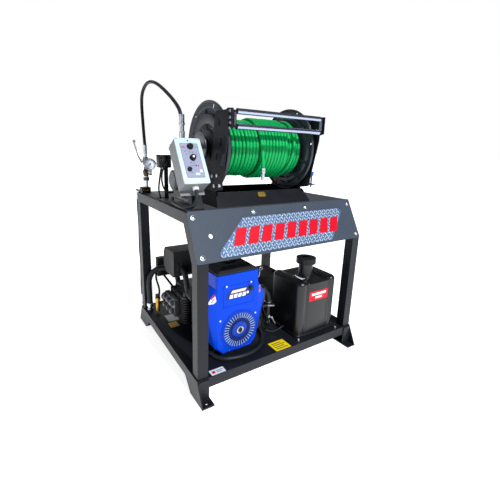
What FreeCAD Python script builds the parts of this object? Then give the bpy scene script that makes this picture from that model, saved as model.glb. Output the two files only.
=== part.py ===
import FreeCAD, Part
import math
import os

# Skid-mounted hot-deck pressure washer: a welded frame on four feet, an engine-driven pump and a
# fuel tank on the tray, and a powered hose reel with its controls and gauge on the deck.
# Millimetres, +Z up, front towards -Y. Drawing places are taken from the tray's front left corner
# on the ground; at() moves them to the part's origin, the middle of the four foot bolts.

os.makedirs("parts", exist_ok=True)

# ---- frame ----
frame_width = 994.0
frame_depth = 836.0
tube = 50.8
tube_wall = 3.0
frame_inset = 5.0
tray_top = 111.0
tray_flange = 50.0
sheet = 3.0
rail_top = 843.0
deck_top = rail_top + sheet
slope_foot_z = 647.0
slope_head_y = 110.0
foot_reach = 50.0
foot_back = 77.0
foot_width = 60.0
foot_plate = 8.0
foot_side = 6.0
foot_hole_x = 31.0
foot_hole_y = -29.0
foot_hole_r = 6.5
fascia_thick = 5.0
badge_thick = 3.0
bolt_head_r = 8.0
bolt_head_h = 5.0

# ---- engine, pump and tank ----
engine_x = 258.0
shaft_x = 270.0
shaft_z = 245.0
shroud_front = 90.0
shroud_back = 235.0
shroud_wall = 3.0
shroud_bulge = 13.0
guard_r = 93.0
shaft_r = 16.0
running_gap = 0.05
crank_back = 400.0
gearbox_back = 460.0
pump_back = 640.0
tank_left = 612.0
tank_right = 882.0
tank_front = 45.0
tank_back = 290.0
tank_top = 428.0
cap_x = 745.0
cap_y = 152.0
neck_top = 517.0
cap_r = 55.0
neck_r = 39.0
cap_skirt = 22.0
cap_height = 30.0

# ---- hose reel ----
reel_x = 448.0
axle_y = 317.0
axle_z = 1107.0
axle_r = 15.0
disc_half = 237.0
disc_r = 209.0
core_r = 85.0
wound_r = 138.0
bump_r = 147.0
pedestal_half = 253.0
pedestal_thick = 5.0
arm_thick = 4.0
base_half = 279.0
base_top = 908.0
base_wall = 4.0
roller_r = 12.0
roller_y = 72.0
roller_top_z = 1250.0
roller_low_z = 1191.0
roller_half = 232.0
roller_side_r = 8.0
roller_side_in = 16.0
roller_end_gap = 1.0
bracket_half = 258.0
bracket_thick = 4.0
long_pin_r = 5.0
side_pin_r = 4.0
sprocket_x = 163.0
sprocket_r = 60.0
pinion_r = 20.0
sprocket_thick = 6.0
motor_y = 440.0
motor_z = 945.0
motor_r = 50.0
motor_left = 78.0
motor_right = 148.0

# ---- controls and gauge ----
box_left = 3.0
box_front = 111.0
box_low = 962.0
box_wide = 116.0
box_high = 210.0
box_deep = 76.0
box_lean = 31.4
riser_x = 45.0
riser_y = 770.0
gauge_x = 56.0
gauge_y = 723.0
gauge_z = 1009.0
gauge_r = 31.0
gauge_turn = 32.0
valve_z = 1024.0

# ---- hoses: outer diameters ----
jumper_d = 17.0
outlet_d = 17.0
bypass_d = 32.0
drain_d = 22.0
conduit_d = 16.0

left = -frame_width / 2
front = -frame_depth / 2


def at(x, y, z):
    return FreeCAD.Vector(x + left, y + front, z)


def direction(x, y, z):
    return FreeCAD.Vector(x, y, z)


across = direction(1, 0, 0)
back = direction(0, 1, 0)
up = direction(0, 0, 1)


def block(x0, x1, y0, y1, z0, z1):
    return Part.makeBox(x1 - x0, y1 - y0, z1 - z0, at(x0, y0, z0))


def rod(x, y, z, axis, radius, length):
    return Part.makeCylinder(radius, length, at(x, y, z), axis)


def ring(x, y, z, axis, outer, inner, length):
    return rod(x, y, z, axis, outer, length).cut(rod(x, y, z, axis, inner, length))


def polygon(points):
    return Part.Wire(Part.makePolygon(points + [points[0]]))


def side_plate(outline, x0, x1):
    """A plate across X whose outline is given as (y, z)."""
    face = Part.Face(polygon([at(x0, y, z) for y, z in outline]))
    return face.extrude(direction(x1 - x0, 0, 0))


def loft(sections):
    return Part.makeLoft([polygon(points) for points in sections], True, True)


def join(shapes):
    return shapes[0].multiFuse(shapes[1:]).removeSplitter()


def group(shapes):
    return Part.makeCompound(shapes)


def mirrored_x(shape):
    return shape.mirror(FreeCAD.Vector(0, 0, 0), direction(1, 0, 0))


def mirrored_y(shape):
    return shape.mirror(FreeCAD.Vector(0, 0, 0), direction(0, 1, 0))


def about_reel(shape):
    """The same piece on the other end of the reel."""
    return shape.mirror(at(reel_x, 0, 0), direction(1, 0, 0))


def rounded(shape, radius, axis):
    """Rounds the straight edges that run along an axis."""
    edges = []
    for edge in shape.Edges:
        if len(edge.Vertexes) == 2 and edge.Curve.TypeId == "Part::GeomLine":
            run = edge.Vertexes[1].Point - edge.Vertexes[0].Point
            if abs(run.normalize().dot(axis)) > 0.999:
                edges.append(edge)
    return shape.makeFillet(radius, edges)


def save(name, shape):
    shape.exportStep("parts/" + name + ".step")


def cord_path(route):
    """Straight runs joined by tangent arcs, and the arcs' radii."""
    points = [at(*p) for p in route]
    edges = []
    radii = []
    start = points[0]
    for before, corner, after in zip(points, points[1:], points[2:]):
        run_in = corner - before
        run_out = after - corner
        turn = run_in.getAngle(run_out)
        cut = 0.45 * min(run_in.Length, run_out.Length)
        radii.append(cut / math.tan(turn / 2))
        way_in = FreeCAD.Vector(run_in).normalize()
        way_out = FreeCAD.Vector(run_out).normalize()
        enter = corner - way_in * cut
        leave = corner + way_out * cut
        inward = (way_out - way_in).normalize()
        middle = corner + inward * (radii[-1] / math.cos(turn / 2) - radii[-1])
        edges.append(Part.LineSegment(start, enter).toShape())
        edges.append(Part.Arc(enter, middle, leave).toShape())
        start = leave
    edges.append(Part.LineSegment(start, points[-1]).toShape())
    return Part.Wire(edges), radii


def swept(route, diameter):
    path, radii = cord_path(route)
    start = at(*route[0])
    way = at(*route[1]) - start
    profile = Part.Wire(Part.makeCircle(diameter / 2, start, way))
    return path.makePipeShell([profile], True, False), path.Length, radii


def cord_tube(name, route, diameter):
    tube_solid, length, radii = swept(route, diameter)
    expected = math.pi * (diameter / 2) ** 2 * length
    print(name, "length", round(length), "radii", [round(r) for r in radii],
          "volume share", round(tube_solid.Volume / expected, 3))
    save(name, tube_solid)


# ---- welded frame ----

slope_run = math.hypot(slope_head_y - frame_inset, rail_top - slope_foot_z)
slope_y = (slope_head_y - frame_inset) / slope_run
slope_z = (rail_top - slope_foot_z) / slope_run
post_back = frame_inset + tube
mitre_low_z = slope_foot_z - slope_y * tube + (tube - slope_z * tube) / slope_y * slope_z
rail_low = rail_top - tube
mitre_high_y = frame_inset + slope_z * tube + (rail_low - slope_foot_z + slope_y * tube) / slope_z * slope_y


def base_tray():
    outer = block(0, frame_width, 0, frame_depth, tray_top - tray_flange, tray_top)
    inner = block(sheet, frame_width - sheet, sheet, frame_depth - sheet,
                  tray_top - tray_flange, tray_top - sheet)
    return outer.cut(inner)


def mounting_feet():
    low = tray_top - tray_flange
    pad = block(0, foot_width, -foot_reach, foot_back, 0, foot_plate)
    pad = pad.cut(rod(foot_hole_x, foot_hole_y, 0, up, foot_hole_r, foot_plate))
    side = side_plate([(-foot_reach, 0), (foot_back, 0), (138, low), (0, low), (0, tray_top - 5)],
                      0, foot_side)
    face = block(foot_side, foot_width - 4, -foot_side, 0, foot_plate, tray_top - 5)
    foot = join([pad, side, face])
    feet = [foot, mirrored_x(foot), mirrored_y(foot), mirrored_x(mirrored_y(foot))]
    return group(feet)


def frame_posts():
    outer = side_plate([(frame_inset, tray_top), (post_back, tray_top), (post_back, mitre_low_z),
                        (frame_inset, slope_foot_z)], frame_inset, frame_inset + tube)
    core = block(frame_inset + tube_wall, frame_inset + tube - tube_wall, frame_inset + tube_wall,
                 post_back - tube_wall, tray_top, mitre_low_z - 12)
    front_post = outer.cut(core)
    rear_y = frame_depth - frame_inset - tube
    rear_post = block(frame_inset, frame_inset + tube, rear_y, rear_y + tube, tray_top, rail_low)
    rear_post = rear_post.cut(block(frame_inset + tube_wall, frame_inset + tube - tube_wall,
                                    rear_y + tube_wall, rear_y + tube - tube_wall,
                                    tray_top, rail_low))
    return [front_post, rear_post, mirrored_x(front_post), mirrored_x(rear_post)]


def frame_rails():
    slope = side_plate([(frame_inset, slope_foot_z), (post_back, mitre_low_z),
                        (mitre_high_y, rail_low), (slope_head_y, rail_top)],
                       frame_inset, frame_inset + tube)
    rail_back = frame_depth - frame_inset
    rail = side_plate([(slope_head_y, rail_top), (mitre_high_y, rail_low), (rail_back, rail_low),
                       (rail_back, rail_top)], frame_inset, frame_inset + tube)
    rail = rail.cut(block(frame_inset + tube_wall, frame_inset + tube - tube_wall,
                          mitre_high_y + 10, rail_back, rail_low + tube_wall, rail_top - tube_wall))
    inside = frame_inset + tube
    rails = [slope, rail, mirrored_x(slope), mirrored_x(rail)]
    for y in (mitre_high_y, frame_depth - frame_inset - tube):
        cross = block(inside, frame_width - inside, y, y + tube, rail_low, rail_top)
        hollow = block(inside, frame_width - inside, y + tube_wall, y + tube - tube_wall,
                       rail_low + tube_wall, rail_top - tube_wall)
        rails.append(cross.cut(hollow))
    return rails


def frame_tubes():
    return group(frame_posts() + frame_rails())


def deck_plate():
    inset = frame_inset + 13
    return block(inset, frame_width - inset, slope_head_y + 4, frame_depth - inset,
                 rail_top, deck_top)


# ---- fascia: places on its slope are x and the distance s up from its lower edge ----

def on_slope(x, s, lift=0.0):
    return at(x, frame_inset + slope_y * s - slope_z * lift,
              slope_foot_z + slope_z * s + slope_y * lift)


slope_out = direction(0, -slope_z, slope_y)


def slope_plate(outline, low, thick):
    face = Part.Face(polygon([on_slope(x, s, low) for x, s in outline]))
    return face.extrude(slope_out * thick)


fascia_bolt_places = [(29, 196), (34, 24), (333, 199), (651, 199), (963, 196), (965, 24)]
fascia_top = slope_run + 2
badge_outline = [(264, 177), (884, 177), (904, 160), (776, 12), (126, 12), (108, 30)]


def rounded_plate(outline, low, thick, radius):
    return rounded(slope_plate(outline, low, thick), radius, slope_out)


def fascia_plate():
    edge = frame_inset
    outline = [(edge, 0), (frame_width - edge, 0), (frame_width - edge, fascia_top),
               (edge, fascia_top)]
    plate = rounded_plate(outline, 0, fascia_thick, 8)
    for x, s in fascia_bolt_places:
        plate = plate.cut(Part.makeCylinder(5, fascia_thick, on_slope(x, s), slope_out))
    return plate.cut(Part.makeCylinder(10, fascia_thick, on_slope(91, 111), slope_out))


def fascia_badge():
    return rounded_plate(badge_outline, fascia_thick, badge_thick, 14)


def button_bolt(place, axis):
    shank = Part.makeCylinder(4.5, fascia_thick, place - axis * fascia_thick, axis)
    head = Part.makeCone(bolt_head_r, bolt_head_r * 0.55, bolt_head_h, place, axis)
    return shank.fuse(head)


# ---- engine ----

shroud_wide = [(-116, 541), (116, 541), (117, 478), (163, 410), (163, 382), (119, 170),
               (84, 138), (-84, 138), (-119, 170), (-163, 382), (-163, 410), (-117, 478)]
shroud_face = [(-112, 540), (112, 540), (113, 478), (115, 410), (115, 382), (108, 172),
               (80, 139), (-80, 139), (-108, 172), (-115, 382), (-115, 410), (-113, 478)]


def shroud_section(outline, y, inward):
    middle_z = 340.0
    points = []
    for x, z in outline:
        points.append(at(engine_x + x - math.copysign(inward, x), y,
                         z - math.copysign(inward, z - middle_z)))
    return points


def blower_housing():
    bulge = shroud_front + shroud_bulge
    outer = loft([shroud_section(shroud_face, shroud_front, 0),
                  shroud_section(shroud_wide, bulge, 0)])
    outer = join([outer, loft([shroud_section(shroud_wide, bulge, 0),
                               shroud_section(shroud_wide, shroud_back, 0)])])
    inner = loft([shroud_section(shroud_face, shroud_front + shroud_wall, shroud_wall),
                  shroud_section(shroud_wide, bulge + shroud_wall, shroud_wall)])
    inner = join([inner, loft([shroud_section(shroud_wide, bulge + shroud_wall, shroud_wall),
                               shroud_section(shroud_wide, shroud_back, shroud_wall)])])
    housing = outer.cut(inner)
    return housing.cut(rod(shaft_x, shroud_front - 1, shaft_z, back, guard_r - 4, 20))


def fan_guard():
    guard = ring(shaft_x, shroud_front - 6, shaft_z, back, guard_r, guard_r - 8, 6)
    ribs = 44
    middle = ring(shaft_x, shroud_front - 5, shaft_z, back, 34, 17, 4)
    pieces = [guard, middle]
    for i in range(ribs):
        rib = Part.makeBox(guard_r - 38, 4, 2.6, at(shaft_x + 32, shroud_front - 5, shaft_z - 1.3))
        rib.rotate(at(shaft_x, 0, shaft_z), back, 360.0 * i / ribs)
        pieces.append(rib)
    pieces.append(ring(shaft_x, shroud_front - 9, shaft_z, back, 19, 9, 8))
    return join(pieces)


def crankcase_block():
    case = block(engine_x - 105, engine_x + 105, shroud_back, crank_back, shaft_z - 95, shaft_z + 100)
    nose = block(engine_x - 90, engine_x + 90, shroud_back - 65, shroud_back, shaft_z - 70, shaft_z + 90)
    return join([rounded(case, 22, back), nose])


def crankcase():
    lower = shaft_z - 95
    case = crankcase_block()
    rail_left = block(engine_x - 110, engine_x - 66, shroud_back + 1, crank_back - 10, tray_top, lower + 10)
    rail_right = block(engine_x + 66, engine_x + 110, shroud_back + 1, crank_back - 10, tray_top, lower + 10)
    case = join([case, rail_left, rail_right])
    return case.cut(rod(shaft_x, shroud_back - 66, shaft_z, back, shaft_r + running_gap, 300))


def cylinders():
    """Two finned barrels with their heads, at 45 degrees either side of the crankcase's top."""
    pivot_z = shaft_z + 40
    made = []
    for side in (-1, 1):
        parts = [rod(engine_x, 290, pivot_z, up, 44, 150)]
        for i in range(6):
            fin_z = pivot_z + 88 + i * 9
            parts.append(block(engine_x - 56, engine_x + 56, 238, 342, fin_z, fin_z + 3))
        parts.append(block(engine_x - 50, engine_x + 50, 241, 339, pivot_z + 140, pivot_z + 182))
        one = join(parts)
        one.rotate(at(engine_x, 290, pivot_z), back, side * 45)
        one = one.cut(crankcase_block())
        made.append(max(one.Solids, key=lambda solid: solid.Volume))
    return group(made)


def crankshaft():
    shaft = rod(shaft_x, shroud_front + 14, shaft_z, back, shaft_r, crank_back - shroud_front + 30)
    return shaft


def flywheel_fan():
    hub = ring(shaft_x, shroud_front + 16, shaft_z, back, 84, shaft_r, 10)
    blades = [hub]
    count = 18
    for i in range(count):
        blade = Part.makeBox(34, 26, 3, at(shaft_x + 48, shroud_front + 26, shaft_z))
        blade.rotate(at(shaft_x, 0, shaft_z), back, 360.0 * i / count)
        blades.append(blade)
    return join(blades)


def cover_corners(inset, y_inset, z):
    return [at(engine_x - 110 + inset, shroud_front + 4 + y_inset, z),
            at(engine_x + 109 - inset, shroud_front + 4 + y_inset, z),
            at(engine_x + 109 - inset, 305 - y_inset, z),
            at(engine_x - 110 + inset, 305 - y_inset, z)]


def air_cleaner():
    """The black cover over the engine's top, with a sloping border and a sunk round knob."""
    skirt = loft([cover_corners(0, 0, 542), cover_corners(0, 0, 548)])
    top = loft([cover_corners(0, 0, 548), cover_corners(34, 30, 572)])
    well = rod(engine_x - 8, 190, 560, up, 46, 13)
    knob_top = rod(engine_x - 8, 190, 559, up, 16, 12)
    return join([join([skirt, top]).cut(well), knob_top])


muffler_right = 396.0
muffler_outline = [(482, 430), (494, 408), (600, 408), (640, 440), (640, 520), (618, 552), (482, 556)]


def muffler():
    """A chamfered box across the back of the engine, welded to the pipes from the two heads."""
    body = side_plate(muffler_outline, 88, muffler_right)
    rear = block(90, 262, 762, 800, 320, 438)
    neck = block(214, 246, 636, 764, 400, 428)
    stub = ring(150, 462, 452, back, 15, 11, 20)
    made = [body, rear, neck, stub]
    for x in (engine_x - 122, engine_x + 122):
        pipe, _, _ = swept([(x, 341, 330), (x, 402, 338), (x, 420, 392), (x, 440, 440),
                            (x, 492, 462)], 30)
        made.append(pipe)
    hollow = block(92, muffler_right - 4, 500, 620, 425, 535)
    return join(made).cut(join([hollow, rod(150, 461, 452, back, 11, 60)]))


def carburettor():
    body = block(428, 466, 150, 205, 330, 400)
    bowl = rod(447, 178, 296, up, 18, 34)
    flange = block(421, 428, 142, 212, 322, 408)
    arm = block(466, 472, 168, 176, 300, 372)
    return join([body, bowl, flange, arm])


def starter_motor():
    can = rod(418, 150, 205, back, 31, 120)
    nose = rod(418, 270, 205, back, 22, 34)
    solenoid = rod(452, 168, 236, back, 15, 70)
    ear = block(363, 400, 262, 276, 180, 232)
    return join([can, nose, solenoid, ear])


# ---- pump ----

def gearbox():
    case = rod(shaft_x, crank_back, shaft_z, back, 82, gearbox_back - crank_back)
    foot = block(shaft_x - 62, shaft_x + 62, crank_back + 8, gearbox_back, tray_top, shaft_z - 60)
    case = join([case, foot])
    return case.cut(rod(shaft_x, crank_back - 1, shaft_z, back, shaft_r + running_gap, 48))


def pump_body():
    body = block(168, 340, gearbox_back, pump_back, 156, 322)
    body = rounded(body, 20, back)
    fins = [body]
    for i in range(8):
        y = gearbox_back + 12 + i * 21
        fins.append(block(120, 170, y, y + 8, 178, 300))
    fins.append(block(150, 170, gearbox_back + 12, gearbox_back + 167, 178, 300))
    fins.append(block(180, 330, gearbox_back + 20, pump_back - 20, tray_top, 158))
    fins.append(rod(188, pump_back - 4, 244, back, 13, 36))
    fins.append(rod(188, 672, 226, up, 19, 56))
    return join(fins)


def pump_head():
    """The valve manifold with its three caps, on the pump's left flank."""
    head = block(92, 120, gearbox_back + 30, pump_back + 10, 168, 268)
    caps = [head]
    for i in range(3):
        y = gearbox_back + 60 + i * 52
        caps.append(rod(92, y, 244, direction(-1, 0, 0), 16, 14))
        caps.append(rod(92, y, 194, direction(-1, 0, 0), 16, 14))
    caps.append(rod(106, pump_back + 10, 218, back, 27, 34))
    return join(caps)


def unloader_body():
    valve = rod(60, 690, 128, up, 13, 72)
    nut = rod(60, 690, 200, up, 16, 14)
    branch = rod(60, 690, 178, across, 9, 52)
    inlet = rod(106, pump_back + 10, 178, back, 9, 44)
    return join([valve, nut, branch, inlet])


def unloader_knob():
    knob = rod(60, 690, 214.3, up, 14, 20)
    grip = []
    for i in range(8):
        notch = rod(60 + 15.2, 690, 214.3, up, 2.5, 20)
        notch.rotate(at(60, 690, 0), up, 45.0 * i)
        grip.append(notch)
    return knob.cut(group(grip))


def battery():
    case = rounded(block(640, 840, 480, 655, tray_top, 290), 8, up)
    lid = rounded(block(636, 844, 476, 659, 290, 306), 10, up)
    posts_pair = [rod(672, 510, 306, up, 9, 16), rod(808, 510, 306, up, 9, 16)]
    return join([case, lid] + posts_pair)


# ---- fuel tank ----

def fuel_tank():
    """A moulded tank with a sunk top between two side pads, a front rib panel and a filler neck."""
    body = rounded(block(tank_left, tank_right, tank_front, tank_back, tray_top, tank_top), 26, up)
    tray_cut = block(tank_left + 52, tank_right - 46, tank_front + 12, tank_back + 5,
                     tank_top - 14, tank_top + 1)
    groove_left = block(tank_left + 40, tank_left + 50, tank_front - 1, tank_front + 5,
                        tray_top + 40, tank_top + 1)
    groove_right = block(tank_right - 44, tank_right - 34, tank_front - 1, tank_front + 5,
                         tray_top + 40, tank_top + 1)
    body = body.cut(tray_cut).cut(groove_left).cut(groove_right)
    skirt = rounded(block(tank_left - 6, tank_right + 2, tank_front - 8, tank_back + 4,
                          tray_top, tray_top + 14), 20, up)
    neck = rod(cap_x, cap_y, tank_top - 16, up, neck_r, neck_top - tank_top + 16)
    tank = join([body, skirt, neck])
    cavity = rounded(block(tank_left + 6, tank_right - 6, tank_front + 12, tank_back - 6,
                           tray_top + 8, tank_top - 24), 20, up)
    bore = rod(cap_x, cap_y, tank_top - 40, up, neck_r - 6, neck_top - tank_top + 40)
    return tank.cut(join([cavity, bore]))


def filler_cap():
    low = neck_top - cap_skirt
    cap = ring(cap_x, cap_y, low, up, cap_r, neck_r + 0.5, cap_skirt + 0.3)
    cap = join([cap, rod(cap_x, cap_y, neck_top + 0.3, up, cap_r, cap_height - cap_skirt)])
    notches = []
    for i in range(24):
        notch = rod(cap_x + cap_r + 1.6, cap_y, low, up, 3, cap_height - 6)
        notch.rotate(at(cap_x, cap_y, 0), up, 15.0 * i)
        notches.append(notch)
    notches.append(rod(cap_x, cap_y, neck_top + 5, up, 22, 10))
    return cap.cut(group(notches))


# ---- hose reel ----

def base_corners(half, y0, y1, z):
    return [at(reel_x - half, y0, z), at(reel_x + half, y0, z),
            at(reel_x + half, y1, z), at(reel_x - half, y1, z)]


def reel_base():
    """A pressed pan, upside down, open on top where the discs dip into it."""
    outer = loft([base_corners(base_half, 142, 500, deck_top),
                  base_corners(base_half - 17, 188, 458, base_top)])
    inner = loft([base_corners(base_half - base_wall, 142 + base_wall, 500 - base_wall, deck_top - 1),
                  base_corners(base_half - 18 - base_wall, 190 + base_wall, 456 - base_wall,
                               base_top + 1)])
    pan = outer.cut(inner)
    floor = block(reel_x - 250, reel_x + 250, 150, 492, deck_top, deck_top + 4)
    return join([pan, floor])


pedestal_outline = [(205, deck_top + 4), (198, 915), (140, 925), (150, 1000), (235, 1003),
                    (275, 1125), (292, 1145), (342, 1145), (359, 1125), (446, 915),
                    (440, deck_top + 4)]
arm_outline = [(142, 924), (232, 924), (252, 985), (203, 1245), (192, 1258), (95, 1258),
               (88, 1242), (92, 1150)]
arm_slots = [(165, 1205, 7), (150, 1120, 7), (185, 1060, 7)]


def side_frames():
    """Each end has a pedestal that holds the bearing and a bolted arm that holds the hose guide."""
    x1 = reel_x - pedestal_half
    pedestal = side_plate(pedestal_outline, x1 - pedestal_thick, x1)
    pedestal = pedestal.cut(rod(x1 - 10, axle_y, axle_z, across, 22, 20))
    arm = side_plate(arm_outline, x1 - pedestal_thick - arm_thick, x1 - pedestal_thick)
    for y, z, r in arm_slots:
        arm = arm.cut(rod(x1 - 20, y, z, across, r, 30))
        arm = arm.cut(rod(x1 - 20, y - 4, z + 16, across, r, 30))
        arm = arm.cut(side_plate([(y - r, z), (y + r, z), (y - 4 + r, z + 16), (y - 4 - r, z + 16)],
                                 x1 - 20, x1 + 10))
    return group([pedestal, arm, about_reel(pedestal), about_reel(arm), lock_tab()])


def axle_bearings():
    x1 = reel_x - pedestal_half
    housing = rod(x1 - pedestal_thick - 12, axle_y, axle_z, across, 21.5, 26)
    flange = rounded(block(x1 - pedestal_thick - 6, x1 - pedestal_thick, axle_y - 32, axle_y + 32,
                           axle_z - 32, axle_z + 32), 12, across)
    bearing = join([housing, flange]).cut(
        rod(x1 - 30, axle_y, axle_z, across, axle_r + running_gap, 60))
    return group([bearing, about_reel(bearing)])


def drum_core():
    """The welded core with its through axle; the axle's left nose runs in the swivel."""
    tube_part = ring(reel_x - disc_half + 1.5, axle_y, axle_z, across, core_r, core_r - 3,
                     2 * disc_half - 3)
    web = [tube_part]
    for x in (reel_x - 120, reel_x + 114):
        web.append(rod(x, axle_y, axle_z, across, core_r - 1, 6))
    web.append(rod(sprocket_x - 10, axle_y, axle_z, across, axle_r, 2 * (reel_x - sprocket_x) + 6))
    web.append(rod(104, axle_y, axle_z, across, 10, 60))
    return join(web)


def drum_discs():
    """Stamped side discs with a rolled rim, a raised ring and six ribs on the outer face."""
    x0 = reel_x - disc_half - 1.5
    parts = [rod(x0, axle_y, axle_z, across, disc_r, 3),
             ring(x0 - 6, axle_y, axle_z, across, disc_r, disc_r - 5, 7),
             ring(x0 - 5, axle_y, axle_z, across, 138, 128, 6),
             ring(x0 - 5, axle_y, axle_z, across, 78, 70, 6)]
    for i in range(6):
        rib = Part.makeBox(5, 14, 62, at(x0 - 4, axle_y - 7, axle_z + 74))
        rib.rotate(at(0, axle_y, axle_z), across, 60.0 * i + 12)
        parts.append(rib)
    disc = join(parts).cut(rod(x0 - 10, axle_y, axle_z, across, axle_r, 30))
    return group([disc, about_reel(disc)])


def wheel_with_teeth(x, y, z, radius, teeth, thick, bore):
    wheel = rod(x, y, z, across, radius, thick)
    pitch = 360.0 / teeth
    gaps = []
    for i in range(teeth):
        gap = rod(x, y + radius + 0.5, z, across, radius * math.pi / teeth * 0.55, thick)
        gap.rotate(at(x, y, z), across, pitch * i)
        gaps.append(gap)
    return wheel.cut(group(gaps)).cut(rod(x, y, z, across, bore, thick))


sprocket_teeth = 30
pinion_teeth = 10


def drum_sprocket():
    wheel = wheel_with_teeth(sprocket_x, axle_y, axle_z, sprocket_r, sprocket_teeth,
                             sprocket_thick, axle_r)
    return join([wheel, ring(sprocket_x - 6, axle_y, axle_z, across, 24, axle_r, 8)])


def motor_sprocket():
    """The pinion and the motor's shaft, which turn together."""
    pinion = wheel_with_teeth(sprocket_x, motor_y, motor_z, pinion_r, pinion_teeth,
                              sprocket_thick, 4)
    shaft = rod(motor_right - 20, motor_y, motor_z, across, 6, sprocket_x - motor_right + 30)
    return join([pinion, shaft])


def drive_chain():
    """The chain's loop, as one plain band that stands just off both sprockets."""
    gap = 1.0
    chain = 7.0
    dy = motor_y - axle_y
    dz = motor_z - axle_z
    far = math.hypot(dy, dz)
    tilt = math.degrees(math.atan2(dz, dy))
    loops = []
    for extra in (gap + chain, gap):
        big = sprocket_r + extra
        small = pinion_r + extra
        spread_angle = math.degrees(math.acos((big - small) / far))
        corners = []
        for sign in (1, -1):
            angle = math.radians(tilt + sign * spread_angle)
            first = (axle_y + big * math.cos(angle), axle_z + big * math.sin(angle))
            last = (motor_y + small * math.cos(angle), motor_z + small * math.sin(angle))
            corners = corners + [first, last] if sign == 1 else corners + [last, first]
        band = side_plate(corners, sprocket_x + 1, sprocket_x + 5)
        loops.append(join([band, rod(sprocket_x + 1, axle_y, axle_z, across, big, 4),
                           rod(sprocket_x + 1, motor_y, motor_z, across, small, 4)]))
    return loops[0].cut(loops[1])


def drive_motor():
    """The 12 volt motor and the plate that carries it."""
    can = rod(motor_left, motor_y, motor_z, across, motor_r, motor_right - motor_left)
    cap = rod(motor_left - 5, motor_y, motor_z, across, motor_r - 8, 5)
    plate = side_plate([(380, deck_top), (505, deck_top), (500, 1000), (385, 1000)],
                       motor_right, motor_right + 5)
    foot = block(motor_right - 36, motor_right + 5, 380, 505, deck_top, deck_top + 5)
    body = join([can, cap, plate, foot])
    return body.cut(rod(motor_right - 21, motor_y, motor_z, across, 6 + running_gap, 30))


def swivel_inlet():
    """The swivel that feeds the axle, with its elbow turned up to the hose."""
    body = rod(66, axle_y, axle_z, across, 19, 64)
    neck = rod(80, axle_y, axle_z + 10, up, 11, 26)
    stop = rod(66, axle_y, axle_z, across, 13, 8)
    swivel = join([body, neck, stop])
    return swivel.cut(rod(102, axle_y, axle_z, across, 10 + running_gap, 40))


def wound_hose():
    """The hose on the drum as one solid of its outer shape, with the fuller middle of the top layer."""
    low = reel_x - disc_half + 3
    high = reel_x + disc_half - 3
    main = ring(low, axle_y, axle_z, across, wound_r, core_r + 0.3, high - low)
    bump = ring(reel_x - 60, axle_y, axle_z, across, bump_r, core_r + 0.3, 190)
    return join([main, bump])


def hose_end_fitting():
    """The hose's free end: its crimped collar and quick coupler, hanging at the drum's front."""
    y = axle_y - bump_r - 10
    collar = rod(424, y, 992, up, 12, 26)
    plug = rod(424, y, 962, up, 8.5, 30)
    lip = rod(424, y, 974, up, 11, 6)
    return join([collar, plug, lip])


def roller_brackets():
    """End plates of the hose guide with the four fixed pins that the rollers turn on."""
    x0 = reel_x - bracket_half
    plate = side_plate([(58, 1182), (100, 1176), (126, 1190), (126, 1252), (100, 1264), (58, 1260)],
                       x0, x0 + bracket_thick)
    side_pin = rod(x0 + roller_side_in, roller_y, roller_low_z, up, side_pin_r,
                   roller_top_z - roller_low_z)
    bracket = join([plate, side_pin])
    made = [bracket, about_reel(bracket)]
    for z in (roller_low_z, roller_top_z):
        made.append(rod(x0, roller_y, z, across, long_pin_r, 2 * bracket_half))
    return join(made)


def long_roller(z):
    return ring(reel_x - roller_half, roller_y, z, across, roller_r, long_pin_r + running_gap,
                2 * roller_half)


def side_roller():
    x = reel_x - bracket_half + roller_side_in
    low = roller_low_z + long_pin_r + roller_end_gap
    high = roller_top_z - long_pin_r - roller_end_gap
    return ring(x, roller_y, low, up, roller_side_r, side_pin_r + running_gap, high - low)


def lock_pin():
    """The drum's lock: a pin with a blue head that lifts out of its tab."""
    pin = rod(736, 152, 916, up, 4, 62)
    head = rod(736, 152, 978, up, 10, 20)
    return join([pin, head])


def lock_tab():
    tab = block(711, 750, 138, 168, 930, 936)
    lip = block(710, 714, 138, 168, 936, 966)
    return join([tab, lip]).cut(rod(736, 152, 929, up, 4 + running_gap, 8))


def contactor():
    """The reel motor's contactor on its own upright bracket."""
    case = rounded(block(24, 88, 478, 522, 1003, 1066), 4, up)
    bracket = block(30, 82, 522, 526, deck_top, 1060)
    foot = block(30, 82, 526, 552, deck_top, deck_top + 4)
    studs = [rod(40, 470, 1052, back, 4, 8), rod(72, 470, 1052, back, 4, 8)]
    return join([case, bracket, foot] + studs)


# ---- control box: u is across its face, v up its face, w out from its face ----

lean = math.radians(box_lean)
face_up = direction(0, math.sin(lean), math.cos(lean))
face_out = direction(0, -math.cos(lean), math.sin(lean))


def on_face(u, v, w):
    return at(box_left + u, box_front, box_low) + face_up * v + face_out * w


def face_block(u0, u1, v0, v1, w0, w1):
    corners = [on_face(u0, v0, w0), on_face(u1, v0, w0), on_face(u1, v1, w0), on_face(u0, v1, w0)]
    return Part.Face(polygon(corners)).extrude(face_out * (w1 - w0))


def face_rod(u, v, w, radius, length):
    return Part.makeCylinder(radius, length, on_face(u, v, w), face_out)


knob_places = [(61, 168), (61, 115), (35, 62)]


def control_box():
    case = rounded(face_block(0, box_wide, 0, box_high, -box_deep, 0), 4, face_out)
    cavity = face_block(3, box_wide - 3, 3, box_high - 3, 3 - box_deep, -3)
    case = case.cut(cavity)
    for u, v in knob_places:
        case = case.cut(face_rod(u, v, -4, 3.05, 5))
    flange_low = face_block(2, box_wide - 2, -22, 0, -box_deep, 3 - box_deep)
    flange_top = face_block(8, 26, box_high, box_high + 14, -box_deep, 3 - box_deep)
    case = case.cut(Part.makeCylinder(9, 6, on_face(61, -1, -38), face_up))
    return join([case, flange_low, flange_top])


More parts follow.
